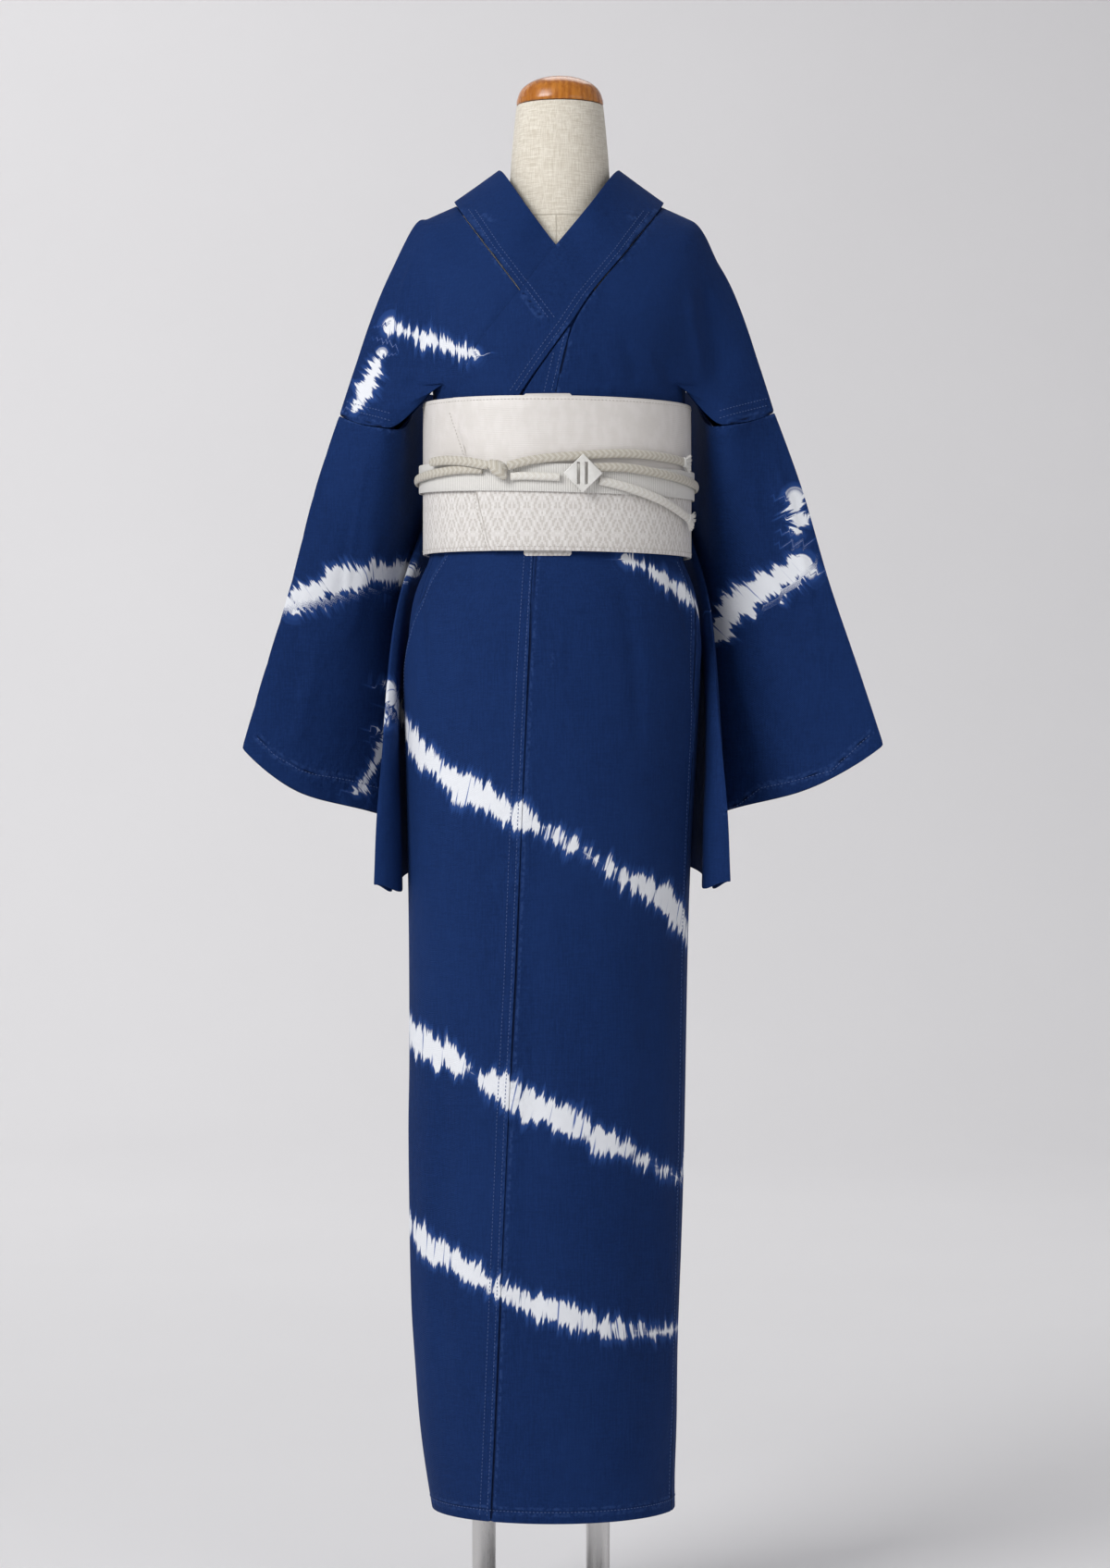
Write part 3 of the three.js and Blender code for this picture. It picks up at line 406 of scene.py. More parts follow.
# ------------------------------------------------------------------ creases
# Troughs and ridges, each with the pieces it runs over, its stops (x, z in mm, or angle, z
# round the trunk), its width and depth in mm.
BODIES = [body_left, body_right, collar]
CREASES = [
    (BODIES, "front", [(140, 1318), (148, 1270), (158, 1225), (163, 1188)], 11, 3.2),
    (BODIES, "front", [(128, 1300), (131, 1262), (137, 1226), (141, 1200)], 7, -2.0),
    (BODIES, "front", [(-118, 1310), (-124, 1262), (-130, 1222), (-133, 1196)], 10, 3.0),
    (BODIES, "front", [(-108, 1290), (-111, 1255), (-117, 1215)], 7, -1.6),
    (BODIES, "front", [(-136, 1340), (-153, 1285), (-163, 1240), (-168, 1212)], 3.5, -1.6),
    (BODIES, "front", [(-116, 1196), (-134, 1203), (-152, 1213)], 6, 2.2),
    (BODIES, "front", [(60, 1252), (72, 1222), (78, 1196)], 6, 1.5),
    (BODIES, "front", [(84, 1240), (93, 1215), (97, 1194)], 5, -1.4),
    (BODIES, "front", [(101, 1232), (108, 1210), (111, 1194)], 5, 1.6),
    (BODIES, "front", [(36, 1232), (45, 1212), (49, 1194)], 4.5, 1.0),
    (BODIES, "back", [(-126, 1300), (-132, 1260), (-138, 1222), (-141, 1198)], 10, 2.8),
    (BODIES, "back", [(128, 1304), (136, 1262), (142, 1222), (146, 1196)], 11, 2.8),
    (BODIES, "back", [(-70, 1250), (-78, 1222), (-82, 1196)], 6, 1.5),
    (BODIES, "back", [(52, 1246), (61, 1218), (66, 1194)], 6, 1.4),
    (SKIRT, "round", [(-70, 1030), (-66, 985), (-58, 930), (-52, 880)], 8, 2.2),
    (SKIRT, "round", [(-38, 1034), (-34, 990), (-30, 940)], 7, 1.5),
    (SKIRT, "round", [(26, 1034), (31, 985), (34, 915), (36, 840)], 9, 2.0),
    (SKIRT, "round", [(52, 1034), (61, 1000), (69, 950), (74, 880)], 8, 2.4),
    (SKIRT, "round", [(60, 1036), (66, 1010), (78, 975), (88, 930)], 5, -1.6),
    (SKIRT, "round", [(112, 1034), (116, 980), (119, 900), (120, 800)], 10, 2.4),
    (SKIRT, "round", [(150, 1034), (148, 970), (150, 890)], 9, 2.0),
    (SKIRT, "round", [(-146, 1034), (-150, 975), (-148, 880)], 10, 2.3),
    (SKIRT, "round", [(-116, 1034), (-112, 985), (-108, 890)], 8, 1.9),
    (SKIRT, "round", [(-12, 760), (-8, 600), (-10, 420), (-6, 240)], 16, 1.8),
    (SKIRT, "round", [(40, 700), (44, 540), (41, 360), (45, 190)], 18, 2.0),
    (SKIRT, "round", [(62, 420), (66, 300), (64, 170)], 10, -1.6),
    (SKIRT, "round", [(-52, 640), (-48, 480), (-52, 330), (-50, 170)], 14, 1.9),
    (SKIRT, "round", [(-84, 560), (-80, 400), (-84, 240)], 12, -1.6),
    (SKIRT, "round", [(100, 620), (104, 460), (100, 300), (103, 150)], 15, 2.0),
    (SKIRT, "round", [(146, 700), (150, 520), (147, 320), (150, 160)], 17, 2.2),
    (SKIRT, "round", [(-146, 680), (-150, 480), (-146, 300), (-149, 150)], 17, 2.0),
    (SKIRT, "round", [(-118, 520), (-114, 360), (-117, 200)], 12, 1.6),
    ([sleeve_right], "front", [(-177, 1176), (-190, 1107), (-201, 1037), (-212, 960)], 3.5, -1.5),
    ([sleeve_right], "front", [(-186, 1120), (-200, 1050), (-214, 980)], 9, 1.6),
    ([sleeve_right], "front", [(-230, 960), (-246, 900), (-256, 850)], 8, -1.4),
    ([sleeve_right], "back", [(-186, 1120), (-199, 1040), (-212, 950)], 9, 1.6),
    ([sleeve_left], "front",
     [(205, 1168), (216, 1125), (230, 1078), (246, 1010), (263, 885)], 3.5, -1.7),
    ([sleeve_left], "front", [(196, 1130), (208, 1070), (222, 1000)], 8, 1.5),
    ([sleeve_left], "front", [(186, 1060), (197, 990), (206, 920)], 7, -1.1),
    ([sleeve_left], "back", [(196, 1130), (212, 1050), (228, 960)], 9, 1.6),
]
surfaces = {}


def surface(objs):
    key = tuple(o.name for o in objs)
    if key not in surfaces:
        surfaces[key] = Surface(*objs)
    return surfaces[key]


for objs, kind, stops, width, depth in CREASES:
    laid = surface(objs).lay(kind, stops)
    if len(laid) > 2:
        press(objs, laid, width * MM, depth * MM)
surfaces.clear()

# ------------------------------------------------------------------ dyed bands
# White shibori bands: pieces, kind of stops, stops, half width in mm along the band.
BANDS = [
    (SKIRT, "round", [(-150, 905), (-118, 893), (-98, 882), (-78, 870), (-37, 818), (-10, 785),
                      (2, 770), (26, 735), (45, 717), (83, 671), (110, 655), (150, 662),
                      (178, 690)],
     (9, 12, 8, 12, 7, 12, 13, 8, 11, 13, 10, 9, 4, 3, 6, 8, 12, 11, 7, 4, 3, 8, 12, 7, 11, 9)),
    (SKIRT, "round", [(-172, 636), (-140, 622), (-104, 596), (-81, 583), (-42, 555), (-16, 526),
                      (7, 498), (28, 476), (47, 457), (74, 437), (90, 455), (118, 486),
                      (156, 520)],
     (10, 13, 7, 12, 9, 6, 11, 13, 14, 11, 5, 11, 13, 12, 10, 9, 5, 3, 2, 5, 9, 12, 8, 11, 9)),
    (SKIRT, "round", [(-165, 452), (-130, 436), (-100, 412), (-80, 393), (-37, 358), (-20, 336),
                      (4, 318), (25, 301), (88, 290), (120, 302), (160, 330)],
     (8, 11, 6, 9, 4, 3, 8, 11, 12, 9, 6, 10, 11, 9, 7, 5, 3, 3, 7, 10, 11, 6, 9)),
    (SKIRT, "round", [(34, 1034), (44, 1026), (56, 1012), (87, 983), (120, 958), (148, 951)],
     (4, 6, 7, 5, 3, 4, 6, 7, 5)),
    (BODIES, "front", [(-162, 1264), (-142, 1256), (-116, 1245), (-79, 1229)], (5, 6, 6, 4)),
    (BODIES, "back", [(-150, 1262), (-110, 1247), (-60, 1231), (-8, 1225), (40, 1236)],
     (6, 8, 8, 9, 6)),
    (BODIES, "front", [(-170, 1236), (-177, 1222), (-184, 1206), (-196, 1184)], (4, 7, 8, 5)),
    ([sleeve_right], "front", [(-262, 998), (-212, 1017), (-180, 1025), (-150, 1030),
                               (-140, 1034)], (9, 11, 10, 9, 8)),
    ([sleeve_right], "back", [(-256, 990), (-205, 1008), (-165, 1016), (-120, 1009)],
     (9, 11, 11, 10)),
    ([sleeve_left], "front", [(156, 968), (172, 992), (196, 1010), (238, 1032)], (12, 13, 13, 12)),
    ([sleeve_left], "back", [(150, 962), (176, 985), (206, 1004), (244, 1026)], (11, 12, 13, 12)),
    ([sleeve_left], "front", [(232, 1098), (236, 1080), (234, 1064)], (5, 8, 4)),
    ([sleeve_right], "front", [(-166, 885), (-172, 852), (-196, 812)], (5, 6, 4)),
    ([sleeve_right], "front", [(-166, 918), (-156, 896), (-144, 875)], (5, 8, 6)),
]
FAR = 0.05
for obj in DENIM:
    points = points_of(obj)
    inside, across_band = np.full(len(points), FAR), np.full(len(points), FAR)
    along_band = np.zeros(len(points))
    for number, (objs, kind, stops, halves) in enumerate(BANDS):
        if obj not in objs:
            continue
        laid = surface(objs).lay(kind, stops)
        if len(laid) < 2:
            continue
        line = np.array([spot[:] for spot, _ in laid])
        gap, along, spot = nearest_on(line, points)
        corners = np.linspace(0, length_of(line), len(halves))
        value = gap - np.interp(along, corners, halves) * MM
        closer = value < inside
        inside[closer] = value[closer]
        along_band[closer] = along[closer] + 0.7 * number
        across_band[closer] = (np.sign(points[:, 2] - spot[:, 2]) * gap)[closer]
    number_on(obj, "band_edge", inside)
    number_on(obj, "band_along", along_band)
    number_on(obj, "band_side", across_band)

# ------------------------------------------------------------------ seams and sewing
# Seam lines: name, pieces, kind of stops, stops, rows of stitches as offsets along x in mm.
OKUMI = [(-20, 1037), (-27, 923), (-33, 786), (-39, 633), (-45, 523), (-50, 405), (-59, 194),
         (-62.5, 122)]


def beside(stops, by):
    return [(u + by, z) for u, z in stops]


def above(stops, by):
    return [(u, z + by) for u, z in stops]


HEM = [(a, 129) for a in range(-178, 183, 4)]
OVERLAP = [(-60, 1040), (-67, 1007), (-79, 962), (-90, 932), (-97, 860), (-100, 600), (-98, 122)]
COLLAR_LEFT = [(-50, 1163), (-33, 1193), (-9.7, 1226), (14, 1258.6), (31.6, 1286), (67, 1331),
               (96, 1374)]
COLLAR_RIGHT = [(-14, 1262), (-35, 1291), (-66, 1334), (-91, 1375)]
COLLAR_BACK = [(-70, 1366), (-32, 1350), (1, 1338), (35, 1350), (74, 1366)]
OBI_EDGE = [(-100, 1176), (-84, 1128), (-64, 1044)]
CUFF_LEFT = [(305, 858), (268, 823), (232, 813), (200, 806), (180, 790), (163, 782)]
CUFF_RIGHT = [(-292, 855), (-275, 838), (-250, 823), (-236, 819), (-216, 816), (-196, 812),
              (-176, 806)]
ARM_LEFT = [(210, 1182), (184, 1174), (158, 1166)]
ARM_RIGHT = [(-210, 1179), (-186, 1171), (-160, 1163)]
UPPER = [body_left, body_right, okumi_left, collar]
SEAM_LINES = [
    ([okumi_left, body_left], "front", OKUMI + [(-62.6, 119)]),
    ([okumi_left, body_left], "front", [(14, 1256), (-1, 1193)]),
    ([okumi_left, body_right], "round", OVERLAP),
    (SKIRT, "round", HEM),
    (SKIRT, "round", [(73, 1038), (73, 119)]),
    (SKIRT, "round", [(180, 1038), (180, 119)]),
    (UPPER, "back", [(1, 1192), (1, 1336)]),
    (UPPER, "front", COLLAR_LEFT),
    (UPPER, "front", COLLAR_RIGHT),
    (UPPER, "back", COLLAR_BACK),
    ([body_left, sleeve_left], "front", ARM_LEFT),
    ([body_left, sleeve_left], "back", ARM_LEFT),
    ([body_right, sleeve_right], "front", ARM_RIGHT),
    ([body_right, sleeve_right], "back", ARM_RIGHT),
    ([sleeve_left], "front", above(CUFF_LEFT, 11)),
    ([sleeve_left], "back", above(CUFF_LEFT, 11)),
    ([sleeve_right], "front", above(CUFF_RIGHT, 11)),
    ([sleeve_right], "back", above(CUFF_RIGHT, 11)),
    ([obi], "round", [(a, 1186.3 - 1.4 * math.sin(math.radians(a))) for a in range(-178, 183, 6)]),
    ([obi], "round", [(a, 1043.2 - 1.4 * math.sin(math.radians(a))) for a in range(-178, 183, 6)]),
    ([obi], "front", OBI_EDGE),
]
# seam_gap: each point's distance to the nearest seam or edge line, which the finishes use for
# painted shade lines along seams and edges and for rubbed wear beside the seams.
for obj in DENIM + [obi, obi_stay]:
    points = points_of(obj)
    apart = np.full(len(points), FAR)
    for objs, kind, stops in SEAM_LINES:
        if obj in objs:
            laid = surface(objs).lay(kind, stops)
            if len(laid) > 1:
                line = np.array([spot[:] for spot, _ in laid])
                apart = np.minimum(apart, nearest_on(line, points)[0])
    number_on(obj, "seam_gap", apart)
SEWING = [
    ("overlap seam stitching", [okumi_left, body_left], "front",
     [beside(OKUMI, -4), beside(OKUMI, -11)]),
    ("chest seam stitching", [okumi_left, body_left], "front",
     [[(9, 1254), (-5, 1193)], [(2, 1250), (-12, 1193)]]),
    ("hem stitching", SKIRT, "round", [HEM]),
    ("left side seam stitching", SKIRT, "round", [[(69.5, 1035), (69.5, 130)]]),
    ("overlap edge stitching", [okumi_left], "round",
     [[(a + 3.5, z) for a, z in OVERLAP[:-1]] + [(-94.5, 131)]]),
    ("back seam stitching", SKIRT, "round", [[(177, 1035), (177, 130)]]),
    ("left cuff stitching", [sleeve_left], "front", [above(CUFF_LEFT, 10)]),
    ("right cuff stitching", [sleeve_right], "front", [above(CUFF_RIGHT, 10)]),
    ("left cuff stitching behind", [sleeve_left], "back", [above(CUFF_LEFT, 10)]),
    ("right cuff stitching behind", [sleeve_right], "back", [above(CUFF_RIGHT, 10)]),
    ("left armhole stitching", [body_left], "front", [above(ARM_LEFT, 8), above(ARM_LEFT, 15)]),
    ("right armhole stitching", [body_right], "front", [above(ARM_RIGHT, 8), above(ARM_RIGHT, 15)]),
    ("left collar stitching", [collar], "front",
     [beside(COLLAR_LEFT[1:], -6), beside(COLLAR_LEFT[1:], -12)]),
    ("right collar stitching", [collar], "front",
     [beside(COLLAR_RIGHT, 6), beside(COLLAR_RIGHT, 12)]),
]
PITCH, STITCH, THREAD = 3.6 * MM, 2.5 * MM, 0.42 * MM


def sew(name, objs, kind, rows):
    """Lines of stitches, one stitch modelled and laid again at even steps."""
    laid = []
    for stops in rows:
        spots = surface(objs).lay(kind, stops, step=5)
        if len(spots) > 1:
            laid.append(spots)
    if not laid:
        return None
    bpy.ops.mesh.primitive_uv_sphere_add(segments=6, ring_count=4, radius=THREAD)
    stitch = bpy.context.object
    bpy.ops.object.mode_set(mode="EDIT")
    bpy.ops.mesh.select_all(action="SELECT")
    bpy.ops.transform.resize(value=(STITCH / 2 / THREAD, 1, 1))
    bpy.ops.object.mode_set(mode="OBJECT")
    made = []
    for spots in laid:
        line = np.array([spot[:] for spot, _ in spots])
        reach = np.concatenate([[0], np.cumsum(np.linalg.norm(np.diff(line, axis=0), axis=1))])
        for at in np.arange(PITCH / 2, reach[-1], PITCH):
            k = min(int(np.searchsorted(reach, at)), len(reach) - 1)
            share = (at - reach[k - 1]) / max(reach[k] - reach[k - 1], 1e-9)
            if reach[k] - reach[k - 1] > 0.02:
                continue
            spot = Vector(line[k - 1]).lerp(Vector(line[k]), share)
            normal = spots[k][1]
            way = (Vector(line[k]) - Vector(line[k - 1])).normalized()
            side = normal.cross(way).normalized()
            copy = stitch.copy()
            bpy.context.collection.objects.link(copy)
            copy.matrix_world = Matrix.Translation(spot + normal * 0.12 * MM) @ Matrix(
                (way, side, way.cross(side))).transposed().to_4x4()
            made.append(copy)
    bpy.ops.object.select_all(action="DESELECT")
    for copy in made:
        copy.select_set(True)
    bpy.data.objects.remove(stitch)
    bpy.context.view_layer.objects.active = made[0]
    bpy.ops.object.make_single_user(type="SELECTED_OBJECTS", object=True, obdata=True)
    bpy.ops.object.join()
    seam = name_it(name)
    settle(seam)
    bpy.ops.object.shade_smooth()
    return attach(seam, "root")


OBI_SEWING = [
    ("obi overlap edge stitching", [obi], "front",
     [beside(OBI_EDGE[:2], -3), beside(OBI_EDGE[1:], -3)]),
    ("obi upper edge stitching", [obi], "round", [[(a, 1184.6 - 1.4 * math.sin(math.radians(a)))
                                                   for a in range(-176, 181, 4)]]),
    ("obi lower edge stitching", [obi], "round", [[(a, 1044.8 - 1.4 * math.sin(math.radians(a)))
                                                   for a in range(-176, 181, 4)]]),
]
obi_stitching = [s for s in (sew(*row) for row in OBI_SEWING) if s]
stitching = [s for s in (sew(*row) for row in SEWING) if s]


# ------------------------------------------------------------------ finishes
class Finish:
    """A material made of nodes, built up by small steps."""

    def __init__(self, name, roughness=0.8, metallic=0.0):
        self.material = bpy.data.materials.new(name)
        self.material.use_nodes = True
        self.tree = self.material.node_tree
        self.shader = self.tree.nodes["Principled BSDF"]
        self.shader.inputs["Roughness"].default_value = roughness
        self.shader.inputs["Metallic"].default_value = metallic
        self.place = self.tree.nodes.new("ShaderNodeTexCoord").outputs["Object"]

    def feed(self, socket, value):
        if isinstance(value, bpy.types.NodeSocket):
            self.tree.links.new(value, socket)
        elif value is not None:
            if isinstance(value, tuple) and len(value) == 3 and socket.type == "RGBA":
                value = (*value, 1)
            socket.default_value = value

    def sum(self, kind, a, b=None, c=None, clamp=False):
        node = self.tree.nodes.new("ShaderNodeMath")
        node.operation = kind
        node.use_clamp = clamp
        for socket, value in zip(node.inputs, (a, b, c)):
            self.feed(socket, value)
        return node.outputs[0]

    def scaled(self, x, y, z, source=None):
        node = self.tree.nodes.new("ShaderNodeVectorMath")
        node.operation = "MULTIPLY"
        self.feed(node.inputs[0], source or self.place)
        node.inputs[1].default_value = (x, y, z)
        return node.outputs[0]

    def axes(self, source=None):
        node = self.tree.nodes.new("ShaderNodeSeparateXYZ")
        self.feed(node.inputs[0], source or self.place)
        return node.outputs

    def vector(self, x, y, z):
        node = self.tree.nodes.new("ShaderNodeCombineXYZ")
        for socket, value in zip(node.inputs, (x, y, z)):
            self.feed(socket, value)
        return node.outputs[0]

    def noise(self, vector, scale=1.0, detail=3.0, rough=0.5):
        node = self.tree.nodes.new("ShaderNodeTexNoise")
        self.feed(node.inputs["Vector"], vector)
        node.inputs["Scale"].default_value = scale
        node.inputs["Detail"].default_value = detail
        node.inputs["Roughness"].default_value = rough
        return node.outputs["Fac"]

    def between(self, value, low, high, to_low=0.0, to_high=1.0):
        node = self.tree.nodes.new("ShaderNodeMapRange")
        node.interpolation_type = "SMOOTHSTEP"
        for socket, number in zip(node.inputs, (value, low, high, to_low, to_high)):
            self.feed(socket, number)
        return node.outputs[0]

    def blend(self, share, a, b, kind="MIX"):
        node = self.tree.nodes.new("ShaderNodeMix")
        node.data_type = "RGBA"
        node.blend_type = kind
        self.feed(node.inputs["Factor"], share)
        self.feed(node.inputs[6], a)
        self.feed(node.inputs[7], b)
        return node.outputs[2]

    def number(self, name):
        node = self.tree.nodes.new("ShaderNodeAttribute")
        node.attribute_name = name
        return node.outputs["Fac"]

    def angle_round(self, radius=0.112, flatten=1.3):
        """Length round the trunk from the front centre, in metres."""
        x, y, _ = self.axes()
        turn = self.sum("ARCTAN2", x, self.sum("MULTIPLY", y, -flatten))
        return self.sum("MULTIPLY", turn, radius)

    def lines(self, value, pitch, sharp=1.0):
        """Even ridges across a length: 0 in the grooves and 1 on the crests."""
        wave = self.sum("SINE", self.sum("MULTIPLY", value, 2 * math.pi / pitch))
        return self.sum("POWER", self.sum("MULTIPLY_ADD", wave, 0.5, 0.5), sharp)

    def colour(self, value):
        self.feed(self.shader.inputs["Base Color"], value)
        return self

    def rough(self, value):
        self.feed(self.shader.inputs["Roughness"], value)
        return self

    def sheen(self, weight, tint=(1, 1, 1)):
        self.shader.inputs["Sheen Weight"].default_value = weight
        self.shader.inputs["Sheen Tint"].default_value = (*tint, 1)
        self.shader.inputs["Sheen Roughness"].default_value = 0.5
        return self

    def bump(self, height, distance, strength=1.0):
        node = self.tree.nodes.new("ShaderNodeBump")
        node.inputs["Strength"].default_value = strength
        node.inputs["Distance"].default_value = distance
        self.feed(node.inputs["Height"], height)
        if self.shader.inputs["Normal"].is_linked:
            self.feed(node.inputs["Normal"], self.shader.inputs["Normal"].links[0].from_socket)
        self.feed(self.shader.inputs["Normal"], node.outputs[0])
        return self

    def on(self, *objs):
        for obj in objs:
            obj.data.materials.clear()
            obj.data.materials.append(self.material)
        return self


def denim():
    f = Finish("indigo denim with shibori", 0.82)
    slub = f.noise(f.scaled(1, 1, 0.05), 900, 2, 0.6)
    weft = f.noise(f.scaled(0.08, 0.08, 1), 800, 2, 0.6)
    fleck = f.noise(f.place, 420, 3, 0.6)
    fade = f.noise(f.scaled(1, 1, 0.5), 9, 3)
    worn = f.sum("ADD", f.sum("MULTIPLY", slub, 0.42),
                 f.sum("ADD", f.sum("MULTIPLY", weft, 0.26), f.sum("MULTIPLY", fleck, 0.32)))
    blue = f.blend(f.between(worn, 0.36, 0.68), (0.0045, 0.0195, 0.086), (0.0082, 0.0300, 0.124))
    blue = f.blend(f.between(fade, 0.35, 0.75, 0, 0.4), blue, (0.0098, 0.0350, 0.140))
    edge, along = f.number("band_edge"), f.number("band_along")
    side = f.number("band_side")
    lean = f.sum("ADD", along, f.sum("MULTIPLY", side, 0.25))
    streaks = f.noise(f.vector(f.sum("MULTIPLY", lean, 330), f.sum("MULTIPLY", side, 22), 0),
                      1, 2, 0.7)
    lobes = f.noise(f.vector(f.sum("MULTIPLY", lean, 120), f.sum("MULTIPLY", side, 18), 3), 1, 1)
    swell = f.noise(f.vector(f.sum("MULTIPLY", along, 36), 0, 8), 1, 2)
    ragged = edge
    for part, reach in ((streaks, 0.026), (lobes, 0.026), (swell, 0.018)):
        ragged = f.sum("ADD", ragged, f.sum("MULTIPLY", f.sum("SUBTRACT", part, 0.5), reach))
    heart = f.sum("MAXIMUM", f.sum("SUBTRACT", f.sum("ABSOLUTE", side), 0.0010),
                  f.sum("SUBTRACT", edge, 0.012))
    core = f.sum("ADD", heart, f.sum("MULTIPLY", f.sum("SUBTRACT", lobes, 0.42), 0.012))
    ragged = f.sum("MINIMUM", ragged, core)
    white = f.between(ragged, 0.0012, -0.0022)
    spill = f.sum("ADD", ragged, f.sum("MULTIPLY", f.sum("SUBTRACT", swell, 0.5), 0.012))
    halo = f.between(spill, 0.0105, 0.0, 0, 0.8)
    slits = f.noise(f.vector(f.sum("MULTIPLY", lean, 240), f.sum("MULTIPLY", side, 16), 5), 1, 1)
    cream = f.blend(f.between(slits, 0.60, 0.70), (0.80, 0.82, 0.86), (0.12, 0.18, 0.42))
    seam = f.number("seam_gap")
    seam_groove_and_shade = f.between(seam, 0.0017, 0.0005)
    beside_seam = f.sum("ABSOLUTE", f.sum("SUBTRACT", seam, 0.0032))
    rub = f.sum("MULTIPLY", f.between(beside_seam, 0.0022, 0.0004),
                f.between(f.noise(f.place, 260, 2), 0.40, 0.66))
    blue = f.blend(f.sum("MULTIPLY", rub, 0.55), blue, (0.028, 0.066, 0.21))
    # Painted shade: a near-black line is painted along every seam, hem, fold and overlap edge; the
    # same mask also dents the surface.
    blue = f.blend(f.sum("MULTIPLY", seam_groove_and_shade, 0.85), blue, (0.0012, 0.005, 0.022))
    surface_colour = f.blend(halo, blue, (0.022, 0.066, 0.245))
    f.colour(f.blend(white, surface_colour, cream))
    f.shader.inputs["Specular IOR Level"].default_value = 0.10
    x, y, z = f.axes()
    twill = f.lines(f.sum("ADD", f.sum("ADD", x, y), z), 0.0016, 1.2)
    f.bump(twill, 0.00022, 0.55).bump(slub, 0.0003, 0.3)
    near_seam = f.between(seam, 0.020, 0.004)
    f.bump(f.noise(f.place, 38, 3, 0.55), 0.0034, 0.6)
    f.bump(f.sum("MULTIPLY", f.noise(f.place, 170, 2), near_seam), 0.0022, 0.7)
    f.bump(seam_groove_and_shade, 0.0010, -0.9).sheen(0.02, (0.3, 0.5, 1.0))
    return f


def obi_cloth():
    f = Finish("cream obi satin", 0.5)
    round_way = f.angle_round()
    _, _, z = f.axes()
    height = f.sum("ADD", z, f.sum("MULTIPLY", f.axes()[0], 0.012))
    lower = f.between(height, 1.1090, 1.1086)
    warm = f.noise(f.scaled(1, 1, 0.5), 120, 2)
    column = f.sum("SNAP", round_way, 0.00125)
    row = f.sum("SNAP", height, 0.0019)
    out = f.sum("PINGPONG", f.sum("ADD", column, 1.0), 0.0125)
    up = f.sum("PINGPONG", f.sum("ADD", row, 0.0040), 0.0265)
    lozenge = f.sum("ADD", f.sum("MULTIPLY", out, 2.3), up)
    figure = f.between(f.lines(lozenge, 0.0105, 1.0), 0.42, 0.58)
    crossing = f.sum("SUBTRACT", f.sum("MULTIPLY", out, 2.3), up)
    figure = f.sum("MULTIPLY_ADD", f.between(f.lines(crossing, 0.0210), 0.72, 0.80), 0.55,
                   f.sum("MULTIPLY", figure, 0.7), clamp=True)
    ribs = f.lines(z, 0.0016, 1.0)
    seam = f.number("seam_gap")
    obi_edge_groove_and_shade = f.between(seam, 0.0011, 0.0004)
    satin = f.blend(f.between(warm, 0.35, 0.7), (0.70, 0.665, 0.63), (0.745, 0.71, 0.68))
    woven = f.blend(figure, (0.60, 0.565, 0.53), (0.80, 0.775, 0.75))
    cloth = f.blend(lower, satin, woven)
    # Painted shade: a dark line is painted along the obi's upper and lower edges and its front
    # overlap edge; the same mask also dents the surface.
    f.colour(f.blend(f.sum("MULTIPLY", obi_edge_groove_and_shade, 0.6), cloth, (0.30, 0.27, 0.23)))
    f.rough(f.blend(lower, (0.42, 0.42, 0.42), (0.68, 0.68, 0.68)))
    f.bump(f.sum("MULTIPLY", figure, lower), 0.0006, 0.8)
    f.bump(f.sum("MULTIPLY", ribs, f.sum("SUBTRACT", 1.0, lower)), 0.00014, 0.5)
    f.bump(obi_edge_groove_and_shade, 0.0007, -0.8)
    f.bump(f.noise(f.scaled(1, 1, 0.6), 22, 2), 0.0014, 0.4).sheen(0.2)
    return f


def plaited(name, light, dark, gold_share):
    f = Finish(name, 0.62)
    along, across = f.number("run_along"), f.number("run_across")
    chevron = f.sum("ADD", along, f.sum("MULTIPLY", f.sum("ABSOLUTE", across), 0.9))
    ridge = f.lines(chevron, 0.0019, 0.8)
    every = f.lines(chevron, 0.0057, 1.0)
    middle = f.between(f.sum("ABSOLUTE", across), 0.0004, 0.0010)
    tone = f.blend(f.sum("MULTIPLY", every, gold_share), light, dark)
    # Painted shade: the grooves between the plait's ridges are blended towards a darker copy of the
    # dark tone.
    deep = tuple(part * 0.4 for part in dark)
    tone = f.blend(f.between(ridge, 0.0, 0.45, 0.3, 0), tone, deep)
    f.colour(tone)
    f.bump(f.sum("MULTIPLY", ridge, middle), 0.00025, 0.5)
    f.bump(f.noise(f.place, 1800, 2), 0.0001, 0.6).sheen(0.3)
    return f


def flat_band():
    f = Finish("white woven band", 0.72)
    ribs = f.lines(f.angle_round(0.13, 1.3), 0.0022, 0.8)
    rows = f.lines(f.axes()[2], 0.0011, 1.0)
    # Painted shade: the band is coloured darker in the rib grooves and lighter on the crests.
    f.colour(f.blend(ribs, (0.60, 0.585, 0.55), (0.80, 0.785, 0.75)))
    f.bump(f.sum("ADD", ribs, f.sum("MULTIPLY", rows, 0.5)), 0.0003, 0.7).sheen(0.25)
    return f


def silk_thread():
    f = Finish("white silk thread", 0.6)
    f.colour(f.blend(f.noise(f.scaled(1, 1, 1), 900, 2), (0.68, 0.66, 0.61), (0.88, 0.87, 0.84)))
    return f.sheen(0.4)


def sewing_thread():
    f = Finish("blue sewing thread", 0.7)
    f.colour(f.blend(f.noise(f.place, 700, 2), (0.030, 0.062, 0.19), (0.075, 0.135, 0.33)))
    return f.bump(f.noise(f.place, 2600, 1), 0.0001, 0.5)


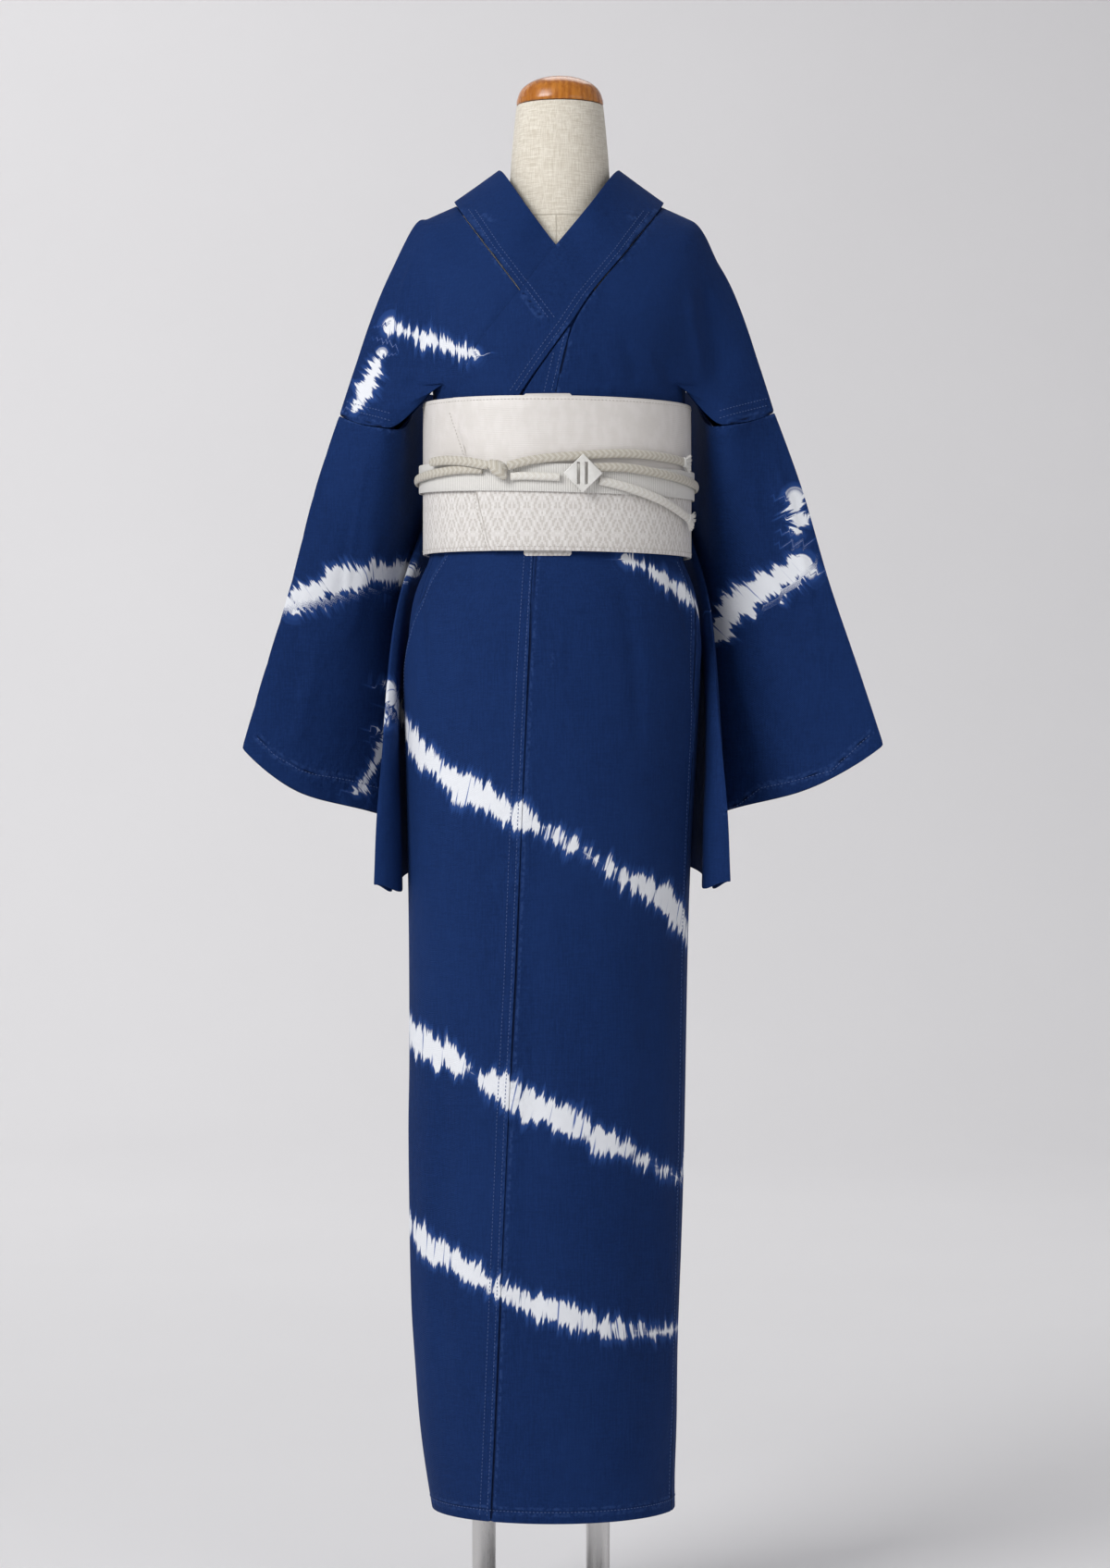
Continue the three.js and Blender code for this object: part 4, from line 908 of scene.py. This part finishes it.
def linen():
    f = Finish("unbleached linen", 0.88)
    warp = f.noise(f.scaled(1, 1, 0.06), 1300, 2, 0.6)
    weft = f.noise(f.scaled(0.06, 0.06, 1), 1300, 2, 0.6)
    slub = f.sum("ADD", f.sum("MULTIPLY", warp, 0.5), f.sum("MULTIPLY", weft, 0.5))
    cloth = f.blend(f.between(slub, 0.36, 0.66), (0.60, 0.54, 0.44), (0.82, 0.775, 0.675))
    x, y, z = f.axes()
    centre = f.between(f.sum("ABSOLUTE", f.sum("SUBTRACT", x, -0.0005)), 0.0011, 0.0003)
    level = f.between(f.sum("ABSOLUTE", f.sum("SUBTRACT", z, 1.368)), 0.0011, 0.0003)
    seam = f.sum("MAXIMUM", f.sum("MULTIPLY", centre, f.between(z, 1.3684, 1.3680)), level)
    f.colour(f.blend(f.sum("MULTIPLY", seam, 0.55), cloth, (0.34, 0.29, 0.22)))
    f.bump(slub, 0.0006, 0.7).bump(seam, 0.0009, -0.8)
    return f.sheen(0.2)


def varnished_wood():
    f = Finish("varnished beech", 0.28)
    grain_place = f.scaled(1, 1, 0.12)
    grain = f.noise(grain_place, 190, 4, 0.6)
    bent = f.sum("ADD", f.axes()[0], f.sum("MULTIPLY", f.noise(f.place, 16, 2), 0.02))
    rings = f.lines(bent, 0.0062, 1)
    tone = f.sum("ADD", f.sum("MULTIPLY", grain, 0.85), f.sum("MULTIPLY", rings, 0.15))
    f.colour(f.blend(f.between(tone, 0.3, 0.75), (0.36, 0.105, 0.006), (0.56, 0.20, 0.018)))
    f.rough(f.between(grain, 0.3, 0.8, 0.22, 0.36))
    f.bump(grain, 0.0002, 0.4)
    f.shader.inputs["Coat Weight"].default_value = 0.3
    f.shader.inputs["Coat Roughness"].default_value = 0.12
    return f


def lacquer():
    f = Finish("ivory lacquer", 0.3)
    cloud = f.noise(f.place, 70, 3)
    f.colour(f.blend(f.between(cloud, 0.35, 0.7), (0.70, 0.69, 0.65), (0.83, 0.82, 0.79)))
    f.rough(f.between(cloud, 0.3, 0.7, 0.24, 0.4)).bump(cloud, 0.0003, 0.4)
    f.shader.inputs["Coat Weight"].default_value = 0.3
    return f


def brushed_steel():
    f = Finish("brushed steel", 0.34, 1.0)
    brush = f.noise(f.scaled(1, 1, 0.03), 1500, 3, 0.6)
    f.colour(f.blend(brush, (0.58, 0.57, 0.56), (0.80, 0.79, 0.78)))
    f.rough(f.between(brush, 0.3, 0.7, 0.26, 0.42)).bump(brush, 0.0001, 0.5)
    return f


def painted_base():
    f = Finish("satin grey paint", 0.5)
    speck = f.noise(f.place, 900, 2)
    cloud = f.noise(f.place, 14, 3)
    f.colour(f.blend(cloud, (0.19, 0.19, 0.20), (0.27, 0.27, 0.28)))
    f.rough(f.between(cloud, 0.3, 0.7, 0.42, 0.56)).bump(speck, 0.0002, 0.35)
    return f


denim().on(*DENIM)
obi_cloth().on(obi, obi_stay)
plaited("beige and gold plait", (0.64, 0.61, 0.54), (0.40, 0.35, 0.26), 0.6).on(
    cord_round, knot, end_upper)
plaited("white plait", (0.80, 0.78, 0.73), (0.62, 0.58, 0.50), 0.5).on(cord_under, end_lower)
flat_band().on(band)
silk_thread().on(fringe_upper, fringe_lower)
linen().on(torso)
varnished_wood().on(cap)
lacquer().on(ornament)
brushed_steel().on(leg_left, leg_right)
painted_base().on(base)
if stitching:
    sewing_thread().on(*stitching)
    ivory = Finish("ivory sewing thread", 0.6)
    ivory.colour(ivory.blend(ivory.noise(ivory.place, 700, 2),
                             (0.45, 0.42, 0.38), (0.62, 0.59, 0.55)))
    ivory.bump(ivory.noise(ivory.place, 2600, 1), 0.0001, 0.5).on(*obi_stitching)

# ------------------------------------------------------------------ studio
bpy.ops.mesh.primitive_plane_add(size=14, location=(0, 0, 0))
floor = name_it("studio sweep")
bpy.ops.object.mode_set(mode="EDIT")
bpy.ops.mesh.select_all(action="SELECT")
bpy.ops.mesh.select_mode(type="EDGE")
bpy.ops.mesh.region_to_loop()
bpy.ops.mesh.extrude_edges_move(TRANSFORM_OT_translate={"value": (0, 0, 8)})
bpy.ops.object.mode_set(mode="OBJECT")
apply(floor, "BEVEL", width=2.4, segments=24, limit_method="ANGLE", angle_limit=math.radians(40))
bpy.ops.object.shade_smooth()
paper = Finish("pale studio paper", 0.9)
paper.colour(paper.blend(paper.noise(paper.place, 1.5, 2), (0.80, 0.79, 0.795), (0.83, 0.82, 0.825)))
paper.bump(paper.noise(paper.place, 500, 2), 0.0001, 0.2).on(floor)


def soft_light(name, spot, aim, size, power, tint=(1, 1, 1)):
    way = Vector(aim) - Vector(spot)
    bpy.ops.object.light_add(type="AREA", location=spot,
                             rotation=way.to_track_quat("-Z", "Y").to_euler())
    light = name_it(name)
    light.data.shape = "RECTANGLE"
    light.data.size, light.data.size_y = size
    light.data.energy = power
    light.data.color = tint


soft_light("window key", (-2.3, -2.6, 2.9), (0, 0, 0.95), (1.9, 1.9), 115)
soft_light("broad fill", (2.6, -3.0, 1.4), (0, 0, 0.8), (2.4, 2.4), 13)
soft_light("sweep wash", (-3.3, 3.4, 4.4), (-1.9, 6.8, 1.2), (3.4, 1.8), 90)
soft_light("high back light", (0.5, 3.0, 4.6), (0.3, 3.0, 0), (3.2, 2.4), 48)
world = bpy.data.worlds.new("pale room")
bpy.context.scene.world = world
world.use_nodes = True
world.node_tree.nodes["Background"].inputs["Color"].default_value = (0.93, 0.95, 1.0, 1)
world.node_tree.nodes["Background"].inputs["Strength"].default_value = 0.33

bpy.ops.object.select_all(action="DESELECT")
